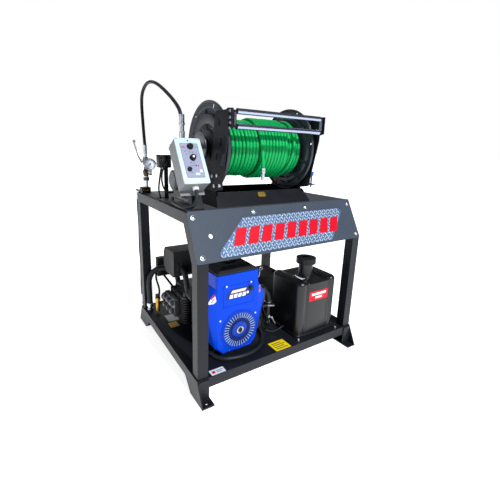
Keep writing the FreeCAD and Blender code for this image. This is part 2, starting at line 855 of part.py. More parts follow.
def knob(u, v, radius, height):
    body = face_rod(u, v, 1.5, radius, height)
    pointer = face_block(u - 1.5, u + 1.5, v, v + radius - 1, 1.5 + height, 3 + height)
    shaft = face_rod(u, v, -12, 3, 14)
    return join([body, pointer, shaft])


def conduit_gland():
    nut = Part.makeCylinder(13, 14, on_face(61, 0, -38), face_up * -1)
    thread = Part.makeCylinder(9, 8, on_face(61, 6, -38), face_up * -1)
    return join([nut, thread])


def box_bracket():
    """A leaning plate from the deck up the box's back, with a foot on the deck."""
    plate = face_block(34, 96, -134, 180, -box_deep - 4, -box_deep)
    cutter = block(-10, 200, 0, 400, deck_top - 60, deck_top)
    plate = plate.cut(cutter)
    foot = block(box_left + 34, box_left + 96, 128, 180, deck_top, deck_top + 4)
    return join([plate, foot])


# ---- gauge, valve and plated fittings ----

turn = math.radians(gauge_turn)
gauge_out = direction(-math.sin(turn), -math.cos(turn), 0)


def gauge_place(w):
    return at(gauge_x, gauge_y, gauge_z) + gauge_out * w


def gauge_case():
    case = Part.makeCylinder(gauge_r, 20, gauge_place(-14), gauge_out)
    stem_foot = at(gauge_x, gauge_y, gauge_z - gauge_r - 22) - gauge_out * 7
    to_riser = at(riser_x, riser_y, gauge_z - gauge_r - 22) - stem_foot
    stem = Part.makeCylinder(6, 30, stem_foot, up)
    link = Part.makeCylinder(5, to_riser.Length - 8, stem_foot + up * 8, to_riser)
    pocket = Part.makeCylinder(gauge_r - 3, 10, gauge_place(-1), gauge_out)
    pivot_hole = Part.makeCylinder(1.6, 8, gauge_place(-4), gauge_out)
    return join([case, stem, link]).cut(join([pocket, pivot_hole]))


def gauge_needle():
    hub = Part.makeCylinder(3.4, 2, gauge_place(1), gauge_out)
    pivot = Part.makeCylinder(1.55, 5, gauge_place(-3), gauge_out)
    sideways = direction(-math.cos(turn), math.sin(turn), 0)
    low = gauge_place(1.2)
    reach = sideways * 13 - up * 15
    wide = (sideways * 15 + up * 13).normalize()
    tail = low - reach * 0.35
    blade = Part.Face(polygon([tail - wide * 2, low + reach - wide * 0.8,
                               low + reach + wide * 0.8, tail + wide * 2]))
    return join([hub, pivot, blade.extrude(gauge_out * 1.2)])


def ball_valve():
    body = rod(riser_x, riser_y, valve_z - 22, up, 15, 44)
    stem_seat = rod(riser_x - 14, riser_y, valve_z, direction(-1, 0, 0), 8, 8)
    return join([body, stem_seat]).cut(rod(riser_x - 8, riser_y, valve_z, direction(-1, 0, 0),
                                           4.05, 20))


def valve_lever():
    """The lever turns about the valve's stem, which points left; it stands open, upright."""
    stem = rod(riser_x - 10, riser_y, valve_z, direction(-1, 0, 0), 4, 18)
    hub = rod(riser_x - 22.4, riser_y, valve_z, direction(-1, 0, 0), 9, 5)
    low = side_plate([(riser_y - 5, valve_z), (riser_y + 5, valve_z), (riser_y + 22, valve_z + 28),
                      (riser_y + 12, valve_z + 28)], riser_x - 27.4, riser_x - 24.4)
    high = side_plate([(riser_y + 12, valve_z + 28), (riser_y + 22, valve_z + 28),
                       (riser_y + 40, valve_z + 104), (riser_y + 30, valve_z + 104)],
                      riser_x - 27.4, riser_x - 24.4)
    tip = Part.makeSphere(8, at(riser_x - 26, riser_y + 35, valve_z + 108))
    return join([stem, hub, low, high, tip])


def plated_fittings():
    """Steel fittings: the deck's corner block and riser, hose collars, and the tray's two elbows."""
    corner = block(12, 62, 748, 792, deck_top, 878)
    nipple = rod(riser_x, riser_y, 878, up, 10, 36)
    union_nut = rod(riser_x, riser_y, 914, up, 16, 26)
    riser = rod(riser_x, riser_y, 940, up, 9, valve_z - 22 - 940)
    lower = join([corner, nipple, union_nut, riser])
    collar = rod(riser_x, riser_y, valve_z + 22, up, 11, 20)
    collar = join([collar, rod(riser_x, riser_y, valve_z + 42, up, 13, 12),
                   ring(riser_x, riser_y, valve_z + 54, up, 11.5, jumper_d / 2, 34)])
    reel_end = join([rod(80, axle_y, axle_z + 36, up, 13, 30),
                     rod(80, axle_y, axle_z + 66, up, 10, 26),
                     rod(80, axle_y, axle_z + 92, up, 13, 12),
                     ring(80, axle_y, axle_z + 104, up, 11.5, jumper_d / 2, 34)])
    rear_y = frame_depth + 14
    deck_elbow = join([rod(14, rear_y, 800, up, 11.5, 50), Part.makeSphere(11.5, at(14, rear_y, 850)),
                       rod(14, rear_y, 850, direction(0, -1, 0), 10, 30)])
    deck_elbow = join([deck_elbow, rod(14, rear_y - 20, 850, direction(0, -1, 0), 13, 42)])
    deck_elbow = deck_elbow.cut(rod(14, rear_y, 799, up, outlet_d / 2, 28))
    deck_elbow = deck_elbow.cut(block(0, 60, 700, frame_depth - frame_inset, 800, deck_top))
    tray_elbow = join([rod(14, rear_y, 128, up, 11.5, 60), Part.makeSphere(11.5, at(14, rear_y, 128)),
                       rod(14, rear_y, 128, direction(0, -1, 0), 10, 14)])
    tray_elbow = tray_elbow.cut(rod(14, rear_y, 160, up, outlet_d / 2, 40))
    bulkhead = join([rod(30, 752, tray_top, up, 17, 16), rod(30, 752, tray_top + 16, up, 13, 14),
                     rod(30, 752, tray_top + 30, up, 19, 20)])
    return group([lower, collar, reel_end, deck_elbow, tray_elbow, bulkhead])


# ---- fasteners ----

def bolts():
    """Zinc-plated bolts and screws of the fascia, the reel's arms, the tank and the engine."""
    made = []
    for x, s in fascia_bolt_places:
        made.append(button_bolt(on_slope(x, s, fascia_thick), slope_out))
    outside = reel_x - pedestal_half - pedestal_thick - arm_thick
    for y, z in ((176, 984), (150, 943), (220, 980), (200, 937)):
        head = rod(outside, y, z, direction(-1, 0, 0), 8, 6)
        made.append(head)
        made.append(about_reel(head))
    for x, y in ((605, 21), (884, 19)):
        made.append(rod(x, y, tray_top, up, 7, 12))
    for x, z in ((192, 486), (328, 484), (160, 319), (360, 313), (212, 148), (322, 147)):
        made.append(rod(x, shroud_front, z, direction(0, -1, 0), 5, 4))
    for x in (engine_x - 88, engine_x + 88):
        made.append(rod(x, 163, tray_top, up, 8, 10))
        made.append(rod(x, crank_back + 4, tray_top, up, 8, 10))
    return group(made)


# ---- hoses and the conduit ----

jumper_route = [(45, 770, 1112), (44, 778, 1178), (44, 788, 1258), (44, 795, 1330), (45, 783, 1382),
                (49, 737, 1417), (53, 680, 1428), (58, 610, 1417), (63, 540, 1390), (68, 475, 1357),
                (74, 415, 1322), (78, 358, 1284), (80, 326, 1248), (80, 317, 1211)]
outlet_route = [(14, 850, 160), (11, 851, 235), (14, 848, 320), (15, 851, 410), (11, 851, 500),
                (14, 849, 590), (15, 851, 680), (12, 850, 755), (14, 850, 827)]
bypass_route = [(188, 672, 282), (187, 672, 326), (167, 683, 368), (130, 701, 391), (88, 723, 391),
                (52, 741, 367), (32, 751, 326), (27, 751, 272), (32, 753, 216), (30, 752, 161)]
drain_route = [(140, 190, 124), (138, 130, 124), (158, 78, 124), (214, 52, 124), (284, 44, 124),
               (358, 56, 124), (420, 92, 124), (462, 148, 124), (486, 212, 124), (482, 276, 124),
               (450, 330, 124), (400, 352, 124)]
conduit_route = [(64, 136, 930), (63, 122, 905), (50, 118, 876), (26, 130, 860), (12, 158, 858),
                 (10, 192, 860), (12, 236, 860), (18, 290, 860), (34, 338, 862), (52, 380, 864)]

pieces = {
    "base_tray": base_tray(),
    "mounting_feet": mounting_feet(),
    "frame_tubes": frame_tubes(),
    "deck_plate": deck_plate(),
    "fascia_plate": fascia_plate(),
    "fascia_badge": fascia_badge(),
    "blower_housing": blower_housing(),
    "fan_guard": fan_guard(),
    "crankcase": crankcase(),
    "cylinders": cylinders(),
    "crankshaft": crankshaft(),
    "flywheel_fan": flywheel_fan(),
    "air_cleaner": air_cleaner(),
    "muffler": muffler(),
    "carburettor": carburettor(),
    "starter_motor": starter_motor(),
    "gearbox": gearbox(),
    "pump_body": pump_body(),
    "pump_head": pump_head(),
    "unloader_body": unloader_body(),
    "unloader_knob": unloader_knob(),
    "battery": battery(),
    "fuel_tank": fuel_tank(),
    "filler_cap": filler_cap(),
    "reel_base": reel_base(),
    "side_frames": side_frames(),
    "axle_bearings": axle_bearings(),
    "drum_core": drum_core(),
    "drum_discs": drum_discs(),
    "drum_sprocket": drum_sprocket(),
    "motor_sprocket": motor_sprocket(),
    "drive_chain": drive_chain(),
    "drive_motor": drive_motor(),
    "swivel_inlet": swivel_inlet(),
    "wound_hose": wound_hose(),
    "hose_end_fitting": hose_end_fitting(),
    "roller_brackets": roller_brackets(),
    "top_roller": long_roller(roller_top_z),
    "bottom_roller": long_roller(roller_low_z),
    "left_roller": side_roller(),
    "right_roller": about_reel(side_roller()),
    "lock_pin": lock_pin(),
    "contactor": contactor(),
    "control_box": control_box(),
    "conduit_gland": conduit_gland(),
    "box_bracket": box_bracket(),
    "gauge_case": gauge_case(),
    "gauge_needle": gauge_needle(),
    "ball_valve": ball_valve(),
    "valve_lever": valve_lever(),
    "plated_fittings": plated_fittings(),
    "bolts": bolts(),
}
for name, place, radius, height in (("mode_knob", knob_places[0], 11, 12),
                                    ("speed_knob", knob_places[1], 11, 14),
                                    ("direction_knob", knob_places[2], 7, 8)):
    pieces[name] = knob(place[0], place[1], radius, height)

for name, shape in pieces.items():
    save(name, shape)

cord_tube("jumper_hose", jumper_route, jumper_d)
cord_tube("outlet_hose", outlet_route, outlet_d)
cord_tube("bypass_hose", bypass_route, bypass_d)
cord_tube("drain_hose", drain_route, drain_d)
cord_tube("control_conduit", conduit_route, conduit_d)
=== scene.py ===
import math
import random

import bmesh
import bpy
from mathutils import Matrix, Vector


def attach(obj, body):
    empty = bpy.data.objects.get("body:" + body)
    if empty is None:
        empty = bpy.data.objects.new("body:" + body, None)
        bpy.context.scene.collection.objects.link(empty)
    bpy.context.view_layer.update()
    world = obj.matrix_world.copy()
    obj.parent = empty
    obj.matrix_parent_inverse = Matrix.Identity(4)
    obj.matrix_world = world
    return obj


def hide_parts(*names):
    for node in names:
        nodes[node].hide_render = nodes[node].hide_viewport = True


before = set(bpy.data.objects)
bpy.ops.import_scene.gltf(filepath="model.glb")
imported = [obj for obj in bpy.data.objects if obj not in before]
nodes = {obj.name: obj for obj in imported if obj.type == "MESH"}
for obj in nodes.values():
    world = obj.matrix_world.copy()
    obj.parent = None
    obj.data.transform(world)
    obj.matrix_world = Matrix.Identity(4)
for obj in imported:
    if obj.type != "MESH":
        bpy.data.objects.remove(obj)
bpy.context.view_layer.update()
dice = random.Random(11)
print("frame loaded,", len(nodes), "nodes")


def at(x, y, z):  # a place on the drawing, in mm from the tray's front left corner, as metres
    return Vector(((x - 497) / 1000, (y - 418) / 1000, z / 1000))


def mm(value):
    return value / 1000


cameraSetup = {"place": (-519.3, -1119.6, 1096.0), "turn": -32.53, "down": 14.22, "roll": 1.53,
               "lens": 23.56, "shift": (0.0222, -0.0331)}
turn, down, roll = (math.radians(cameraSetup[k]) for k in ("turn", "down", "roll"))
ahead = Vector((-math.sin(turn) * math.cos(down), math.cos(turn) * math.cos(down), -math.sin(down)))
level = Vector((math.cos(turn), math.sin(turn), 0))
rising = level.cross(ahead)
camRight = level * math.cos(roll) + rising * math.sin(roll)
camUp = rising * math.cos(roll) - level * math.sin(roll)
cameraData = bpy.data.cameras.new("camera")
cameraData.lens = cameraSetup["lens"]
cameraData.sensor_width = 36
cameraData.shift_x, cameraData.shift_y = cameraSetup["shift"]
camera = bpy.data.objects.new("camera", cameraData)
camera.matrix_world = Matrix.Translation(at(*cameraSetup["place"])) @ Matrix(
    (camRight, camUp, -ahead)).transposed().to_4x4()
bpy.context.scene.collection.objects.link(camera)
bpy.context.scene.camera = camera
bpy.context.scene.view_settings.view_transform = "Standard"
print("camera set")


def tone(red, green, blue):  # a screen colour, 0 to 255, as the linear colour that shaders use
    return tuple((v / 255 / 12.92) if v < 11 else ((v / 255 + 0.055) / 1.055) ** 2.4
                 for v in (red, green, blue))


def shaded(colour, share):
    return tuple(min(1.0, v * share) for v in colour)


class Wire:  # a socket that can stand in a sum
    def __init__(self, paint, socket):
        self.paint = paint
        self.socket = socket

    def work(self, operation, first, second):
        return self.paint.node("Math", {"operation": operation}, {0: first, 1: second})

    def __add__(self, other):
        return self.work("ADD", self, other)

    def __mul__(self, other):
        return self.work("MULTIPLY", self, other)

    def __gt__(self, other):
        return self.work("GREATER_THAN", self, other)


class Paint:  # one material and the nodes that are added to it
    def __init__(self, name, rough=0.5, metal=0.0, **fixed):
        self.material = bpy.data.materials.new(name)
        self.material.use_nodes = True
        self.tree = self.material.node_tree
        self.shader = self.tree.nodes["Principled BSDF"]
        self.shader.inputs["Roughness"].default_value = rough
        self.shader.inputs["Metallic"].default_value = metal
        for key, value in fixed.items():
            self.shader.inputs[key.replace("_", " ")].default_value = value

    def node(self, kind, settings=None, sockets=None, output=0):
        made = self.tree.nodes.new("ShaderNode" + kind)
        for key, value in (settings or {}).items():
            setattr(made, key, value)
        for key, value in (sockets or {}).items():
            if isinstance(value, Wire):
                self.tree.links.new(value.socket, made.inputs[key])
            elif isinstance(value, tuple) and made.inputs[key].type == "RGBA":
                made.inputs[key].default_value = (*value, 1)
            else:
                made.inputs[key].default_value = value
        return Wire(self, made.outputs[output])

    def place(self):
        return self.node("TexCoord", output="Object")

    def noise(self, scale, detail=2.0):
        return self.node("TexNoise", None, {"Vector": self.place(), "Scale": scale,
                                            "Detail": detail}, "Fac")

    def mix(self, share, first, second):
        return self.node("Mix", {"data_type": "RGBA"}, {0: share, 6: first, 7: second}, 2)

    def feed(self, key, wire):
        self.tree.links.new(wire.socket, self.shader.inputs[key])

    def relief(self, height, strength, depth, edge):  # edge rounds the look of sharp corners
        soft = self.node("Bevel", {"samples": 4}, {"Radius": mm(edge)})
        self.feed("Normal", self.node("Bump", None, {
            "Height": height, "Strength": strength, "Distance": depth, "Normal": soft}))


paints = {}


def finish(name, colour, rough, metal=0.0, broad=9.0, swing=0.25, grain=0.0, grainScale=1400.0,
           roughSwing=0.12, dustAndGlint=0.0, edge=0.8, **fixed):  # colour and gloss wander a little
    if not metal:
        fixed.setdefault("Specular_IOR_Level", 0.24)
    paint = Paint(name, rough, metal, **fixed)
    slow = paint.noise(broad, 4.0)
    colours = paint.mix(slow, shaded(colour, 1 - swing), shaded(colour, 1 + swing))
    # lighter specks: dust, and painted glints that stand in for the powder coat's sparkle
    if dustAndGlint:
        dustAndGlintSpecks = paint.noise(grainScale * 0.45, 2.0)
        colours = paint.mix((dustAndGlintSpecks > 0.57) * dustAndGlint, colours, shaded(colour, 2.6))
    paint.feed("Base Color", colours)
    paint.feed("Roughness", slow * (2 * roughSwing) + (rough - roughSwing))
    paint.relief(paint.noise(grainScale, 2.0), grain, 0.0006, edge)
    paints[name] = paint.material


finish("framePowder", tone(20, 23, 30), 0.44, 0.0, 7, 0.14, 0.5, 1300, 0.06, 0.3, 3.0)
# the deck plate gets the frame powder made lighter: painted sheen standing in for the grazing
# reflection on the deck top
finish("deckPowderPaintedSheen", tone(64, 68, 74), 0.5, 0.0, 7, 0.14, 0.6, 1200, 0.06, 0.5, 2.0)
finish("fasciaPowder", tone(54, 64, 78), 0.5, 0.0, 7, 0.1, 0.5, 1300, 0.06, 0.3, 1.2)
finish("engineBlue", tone(0, 62, 196), 0.34, 0.0, 12, 0.06, 0.05, 400, 0.05, 0.0, 3.5,
       Specular_IOR_Level=0.1)
finish("screenBlue", tone(4, 50, 160), 0.36, 0.0, 30, 0.25, 0.1, 700, 0.08, 0.0, 0.8)
finish("plateBlue", tone(18, 44, 122), 0.42, 0.0, 30, 0.15, 0.1, 700, 0.08, 0.0, 0.5)
finish("engineAlloy", tone(58, 60, 64), 0.5, 0.6, 22, 0.3, 0.5, 500, 0.12, 0.0, 1.5)
finish("pumpBlack", tone(30, 31, 34), 0.42, 0.3, 24, 0.35, 0.5, 480, 0.12, 0.0, 1.5)
finish("pumpAlloy", tone(120, 122, 126), 0.36, 0.8, 30, 0.25, 0.3, 500, 0.1, 0.0, 1.5)
finish("shaftSteel", tone(150, 152, 158), 0.3, 1.0, 60, 0.12, 0.1, 900, 0.08)
finish("screenRib", tone(150, 184, 240), 0.3, 0.1, 60, 0.3, 0.1, 700, 0.08, 0.0, 0.5)
finish("castGrey", tone(104, 108, 114), 0.5, 0.3, 25, 0.16, 0.45, 520, 0.1, 0.0, 1.5)
finish("blackCover", tone(30, 31, 35), 0.5, 0.0, 18, 0.2, 0.4, 800, 0.1, 0.0, 3.0)
finish("mufflerBlack", tone(30, 31, 33), 0.6, 0.1, 14, 0.3, 0.5, 420, 0.1, 0.08, 4.0)
finish("brass", tone(190, 146, 66), 0.32, 1.0, 45, 0.3, 0.15, 600, 0.12)
finish("oldBrass", tone(84, 78, 66), 0.4, 0.8, 45, 0.4, 0.3, 600, 0.12)
finish("blackPlastic", tone(22, 23, 26), 0.36, 0.0, 40, 0.2, 0.15, 900, 0.08)
finish("tankPlastic", tone(15, 16, 20), 0.32, 0.0, 10, 0.12, 0.4, 620, 0.07, 0.0, 2.0,
       Specular_IOR_Level=0.5)
finish("reelBlack", tone(17, 19, 26), 0.4, 0.0, 12, 0.2, 0.3, 900, 0.08, 0.0, 1.2)
finish("reelGrey", tone(40, 46, 56), 0.42, 0.1, 12, 0.14, 0.4, 900, 0.08, 0.15, 1.5)
finish("greenHose", tone(0, 160, 84), 0.42, 0.0, 30, 0.08, 0.2, 260, 0.06, 0.0, 0.0)
finish("blackHose", tone(24, 29, 36), 0.46, 0.0, 26, 0.12, 0.1, 420, 0.08, 0.0, 0.0)
finish("zinc", tone(196, 202, 212), 0.28, 1.0, 70, 0.14, 0.1, 800, 0.1)
finish("dullSteel", tone(120, 124, 132), 0.42, 0.9, 70, 0.2, 0.2, 800, 0.1)
finish("chrome", tone(172, 180, 206), 0.18, 1.0, 30, 0.06, 0.0, 800, 0.04)
finish("pinBlue", tone(40, 88, 190), 0.36, 0.4, 60, 0.15, 0.1, 900, 0.08)
# the box body is a darker copy of the lid's grey: painted shade on the box's sides and bottom
finish("boxGreyPaintedShade", tone(120, 124, 128), 0.42, 0.0, 9, 0.04, 0.25, 900, 0.06, 0.0, 1.2)
finish("lidGrey", tone(190, 210, 222), 0.42, 0.0, 9, 0.04, 0.25, 900, 0.06, 0.0, 0.8)
finish("panelLavender", tone(142, 148, 176), 0.45, 0.0, 20, 0.05, 0.1, 900, 0.05, 0.0, 0.3)
finish("glandWhite", tone(218, 222, 226), 0.4, 0.0, 30, 0.06, 0.1, 800, 0.05, 0.0, 1.5)
finish("gaugeSteel", tone(160, 164, 172), 0.24, 1.0, 40, 0.12, 0.08, 900, 0.08)
finish("needleBlack", tone(20, 20, 22), 0.5, 0.0, 40, 0.2)
finish("dialFace", tone(206, 212, 230), 0.5, 0.0, 60, 0.04)
finish("markRed", tone(196, 0, 32), 0.42, 0.0, 30, 0.08, 0.1, 900, 0.06, 0.0, 0.5)
finish("markGreen", tone(50, 190, 90), 0.4, 0.0, 60, 0.08)
finish("markAmber", tone(238, 176, 110), 0.45, 0.0, 60, 0.06)
finish("markWhite", tone(224, 230, 240), 0.5, 0.0, 30, 0.04, 0.1, 900, 0.05, 0.0, 0.3)
finish("markCream", tone(226, 206, 178), 0.5, 0.0, 30, 0.08, 0.1, 900, 0.05, 0.0, 0.3)
finish("markYellow", tone(240, 214, 4), 0.5, 0.0, 30, 0.06, 0.1, 900, 0.05, 0.0, 0.3)
finish("markBlue", tone(96, 140, 214), 0.5, 0.0, 30, 0.08)
finish("markGold", tone(160, 128, 62), 0.4, 0.6, 30, 0.12)
finish("tagSilver", tone(226, 230, 232), 0.4, 0.0, 30, 0.1, 0.1, 900, 0.05, 0.0, 0.3)
finish("tagGold", tone(238, 196, 84), 0.4, 0.0, 30, 0.2, 0.1, 900, 0.05, 0.0, 0.3)
finish("markInk", tone(52, 54, 66), 0.5, 0.0, 30, 0.1)
finish("cableBlack", tone(20, 21, 24), 0.48, 0.0, 40, 0.2, 0.2, 700)
finish("treadPlate", tone(88, 116, 156), 0.36, 0.45, 16, 0.12, 0.2, 260, 0.1)
finish("treadBar", tone(190, 206, 228), 0.26, 0.35, 30, 0.2, 0.1, 500, 0.08)

nodePaints = {
    "framePowder": ["base_tray", "mounting_feet", "frame_tubes"],
    "deckPowderPaintedSheen": ["deck_plate"],
    "fasciaPowder": ["fascia_plate"],
    "treadPlate": ["fascia_badge"],
    "engineBlue": ["blower_housing"],
    "screenBlue": ["fan_guard"],
    "engineAlloy": ["crankcase", "cylinders", "carburettor"],
    "shaftSteel": ["crankshaft", "drum_sprocket", "motor_sprocket", "drive_chain"],
    "blackCover": ["air_cleaner", "flywheel_fan", "battery", "starter_motor"],
    "mufflerBlack": ["muffler"],
    "pumpBlack": ["gearbox", "pump_body"],
    "pumpAlloy": ["pump_head"],
    "brass": ["unloader_body"],
    "blackPlastic": ["unloader_knob", "filler_cap", "contactor", "mode_knob", "speed_knob",
                     "direction_knob"],
    "tankPlastic": ["fuel_tank"],
    "reelBlack": ["reel_base", "side_frames", "roller_brackets", "axle_bearings", "drum_core",
                  "box_bracket"],
    "reelGrey": ["drum_discs"],
    "castGrey": ["drive_motor", "swivel_inlet"],
    "greenHose": ["wound_hose"],
    "blackHose": ["jumper_hose", "outlet_hose", "bypass_hose", "drain_hose", "control_conduit"],
    "zinc": ["plated_fittings", "bolts", "hose_end_fitting"],
    "dullSteel": ["valve_lever", "ball_valve"],
    "chrome": ["top_roller", "bottom_roller", "left_roller", "right_roller"],
    "pinBlue": ["lock_pin"],
    "boxGreyPaintedShade": ["control_box"],
    "glandWhite": ["conduit_gland"],
    "gaugeSteel": ["gauge_case"],
    "needleBlack": ["gauge_needle"],
}
for paintName, members in nodePaints.items():
    for member in members:
        nodes[member].data.materials.clear()
        nodes[member].data.materials.append(paints[paintName])
print("materials made,", len(paints))


def boxIn(bm, low, high, radius, steps):  # a box between two corners, its edges rounded
    middle = at(*[(a + b) / 2 for a, b in zip(low, high)])
    size = [mm(b - a) for a, b in zip(low, high)]
    made = bmesh.ops.create_cube(bm, size=1, matrix=Matrix.Translation(middle)
                                 @ Matrix.Diagonal((*size, 1)))
    edges = list({e for v in made["verts"] for e in v.link_edges})
    bmesh.ops.bevel(bm, geom=edges, offset=mm(radius), segments=steps, profile=0.5,
                    affect="EDGES", material=-1)


def rodIn(bm, start, end, radius, sides=24, tip=None):  # tip is the bar's radius at its end
    axis = end - start
    spot = Matrix.Translation((start + end) / 2) @ axis.to_track_quat("Z", "Y").to_matrix().to_4x4()
    bmesh.ops.create_cone(bm, cap_ends=True, segments=sides, radius1=mm(radius),
                          radius2=mm(radius if tip is None else tip), depth=axis.length,
                          matrix=spot)


def spunIn(bm, outline, centre, axis, steps=48):  # outline holds (radius, height) in mm
    side = axis.orthogonal().normalized()
    verts = [bm.verts.new(centre + side * mm(r) + axis * mm(h)) for r, h in outline]
    edges = [bm.edges.new(pair) for pair in zip(verts, verts[1:])]
    bmesh.ops.spin(bm, geom=verts + edges, cent=centre, axis=axis, angle=math.tau,
                   steps=steps, use_merge=True)


def ringIn(bm, centre, axis, radius, wire, steps=32, sides=8):  # a ring of round wire
    axis = axis.normalized()
    side = axis.orthogonal().normalized()
    spots = [math.tau * i / sides for i in range(sides)]
    verts = [bm.verts.new(centre + side * mm(radius + wire * math.cos(a))
                          + axis * mm(wire * math.sin(a))) for a in spots]
    edges = [bm.edges.new(pair) for pair in zip(verts, verts[1:] + verts[:1])]
    bmesh.ops.spin(bm, geom=verts + edges, cent=centre, axis=axis, angle=math.tau, steps=steps,
                   use_merge=True)


def rect(u0, u1, v0, v1, radius=0.0, steps=4):  # one radius, or one for each corner
    radii = radius if isinstance(radius, tuple) else (radius,) * 4
    spots = []
    for u, v, inU, inV, begin, r in ((u1, v0, -1, 1, -90, radii[0]), (u1, v1, -1, -1, 0, radii[1]),
                                     (u0, v1, 1, -1, 90, radii[2]), (u0, v0, 1, 1, 180, radii[3])):
        for i in range(steps + 1 if r else 1):
            a = math.radians(begin + 90 * i / steps)
            spots.append((u + (inU + math.cos(a)) * r, v + (inV + math.sin(a)) * r))
    return spots


def disc(u, v, radius, steps=24):
    turns = [math.tau * i / steps for i in range(steps)]
    return [(u + radius * math.cos(a), v + radius * math.sin(a)) for a in turns]


def plateOn(bm, plane, outline, low, high, paint=0, edge=0.0, steps=1):  # a plate on a plane
    known = set(bm.faces)
    face = bm.faces.new([bm.verts.new(plane(u, v, low)) for u, v in outline])
    grown = bmesh.ops.extrude_face_region(bm, geom=[face], use_keep_orig=True)["geom"]
    moved = [g for g in grown if isinstance(g, bmesh.types.BMVert)]
    bmesh.ops.translate(bm, verts=moved, vec=plane(0, 0, high) - plane(0, 0, low))
    top = [g for g in grown if isinstance(g, bmesh.types.BMFace)]
    if edge:
        rim = list({e for f in top for e in f.edges})
        bmesh.ops.bevel(bm, geom=rim, offset=mm(edge), segments=steps, profile=0.5,
                        affect="EDGES", material=-1)
    for face in set(bm.faces) - known:
        face.material_index = paint


def spotOn(plane, u, v, w, turned=0.0):  # the matrix that stands a shape on a plane
    origin = plane(u, v, w)
    sides = [(plane(*(a + b for a, b in zip((u, v, w), step))) - origin).normalized()
             for step in ((1, 0, 0), (0, 1, 0), (0, 0, 1))]
    return Matrix.Translation(origin) @ Matrix(sides).transposed().to_4x4() @ Matrix.Rotation(
        turned, 4, "Z")


def boltIn(bm, place, axis, radius, height, washer=1.4):  # a hexagon head on its washer
    rodIn(bm, place, place + axis * mm(1.5), radius * washer, 20)
    rodIn(bm, place + axis * mm(1.4), place + axis * mm(height), radius, 6, radius * 0.92)


def newPiece(name, bm, paintName, body, smooth=35, mend=True):
    if mend:
        bmesh.ops.remove_doubles(bm, verts=bm.verts, dist=1e-6)
        bmesh.ops.recalc_face_normals(bm, faces=bm.faces)
    mesh = bpy.data.meshes.new(name)
    bm.to_mesh(mesh)
    bm.free()
    for one in [paintName] if isinstance(paintName, str) else paintName:
        mesh.materials.append(paints[one])
    for face in mesh.polygons:
        face.use_smooth = True
    mesh.set_sharp_from_angle(angle=math.radians(smooth))
    piece = bpy.data.objects.new(name, mesh)
    bpy.context.scene.collection.objects.link(piece)
    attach(piece, body)
    return piece


def cordCurve(name, points, width, paintName, body, replaced=None, rings=4, along=6):
    data = bpy.data.curves.new(name, "CURVE")
    data.dimensions = "3D"
    data.bevel_depth = mm(width) / 2
    data.bevel_resolution = rings
    data.resolution_u = along
    data.use_fill_caps = True
    spline = data.splines.new("NURBS")
    spline.points.add(len(points) - 1)
    for point, place in zip(spline.points, points):
        point.co = (*place, 1)
    spline.order_u = 3
    spline.use_endpoint_u = True
    data.materials.append(paints[paintName])
    cord = bpy.data.objects.new(name, data)
    bpy.context.scene.collection.objects.link(cord)
    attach(cord, body)
    if replaced:
        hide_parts(replaced)
    return cord


hoses = {
    "jumperHose": {"node": "jumper_hose", "width": 17, "length": 828, "route": [
        (45, 770, 1112), (44, 778, 1178), (44, 788, 1258), (44, 795, 1330), (45, 783, 1382),
        (49, 737, 1417), (53, 680, 1428), (58, 610, 1417), (63, 540, 1390), (68, 475, 1357),
        (74, 415, 1322), (78, 358, 1284), (80, 326, 1248), (80, 317, 1211)]},
    "outletHose": {"node": "outlet_hose", "width": 17, "length": 667, "route": [
        (14, 850, 160), (11, 851, 235), (14, 848, 320), (15, 851, 410), (11, 851, 500),
        (14, 849, 590), (15, 851, 680), (12, 850, 755), (14, 850, 827)]},
    "supplyHose": {"node": "bypass_hose", "width": 32, "length": 440, "route": [
        (188, 672, 282), (187, 672, 326), (167, 683, 368), (130, 701, 391), (88, 723, 391),
        (52, 741, 367), (32, 751, 326), (27, 751, 272), (32, 753, 216), (30, 752, 161)]},
    "drainHose": {"node": "drain_hose", "width": 22, "length": 705, "route": [
        (140, 190, 124), (138, 130, 124), (158, 78, 124), (214, 52, 124), (284, 44, 124),
        (358, 56, 124), (420, 92, 124), (462, 148, 124), (486, 212, 124), (482, 276, 124),
        (450, 330, 124), (400, 352, 124)]},
    "controlConduit": {"node": "control_conduit", "width": 16, "length": 348, "route": [
        (64, 136, 930), (63, 122, 905), (50, 118, 876), (26, 130, 860), (12, 158, 858),
        (10, 192, 860), (12, 236, 860), (18, 290, 860), (34, 338, 862), (52, 380, 864)]},
}
for hoseName, facts in hoses.items():
    places = [at(*p) for p in facts["route"]]
    hose = cordCurve(hoseName, places, facts["width"], "blackHose", "frame", facts["node"])
    mm(facts["length"])
    mm(facts["width"])
print("hoses made")

reel = {"left": 222.0, "right": 674.0, "axleY": 317.0, "axleZ": 1107.0, "width": 17.6,
        "layers": (94.0, 111.0, 128.0), "upper": 141.5, "upperLeft": 424.0, "upperRight": 578.0,
        "turns": 23, "corners": 14, "pitch": 19.2, "runUpSpeed": 3,
        "wideTurns": ((2, 1.35), (5, 1.2), (10, 1.8), (15, 1.12)),
        "wobble": 0.7, "upperWobble": 0.4, "shrink": 0.985,
        "drops": ((174, 1107), (168, 1075), (162, 1045), (160, 1019))}


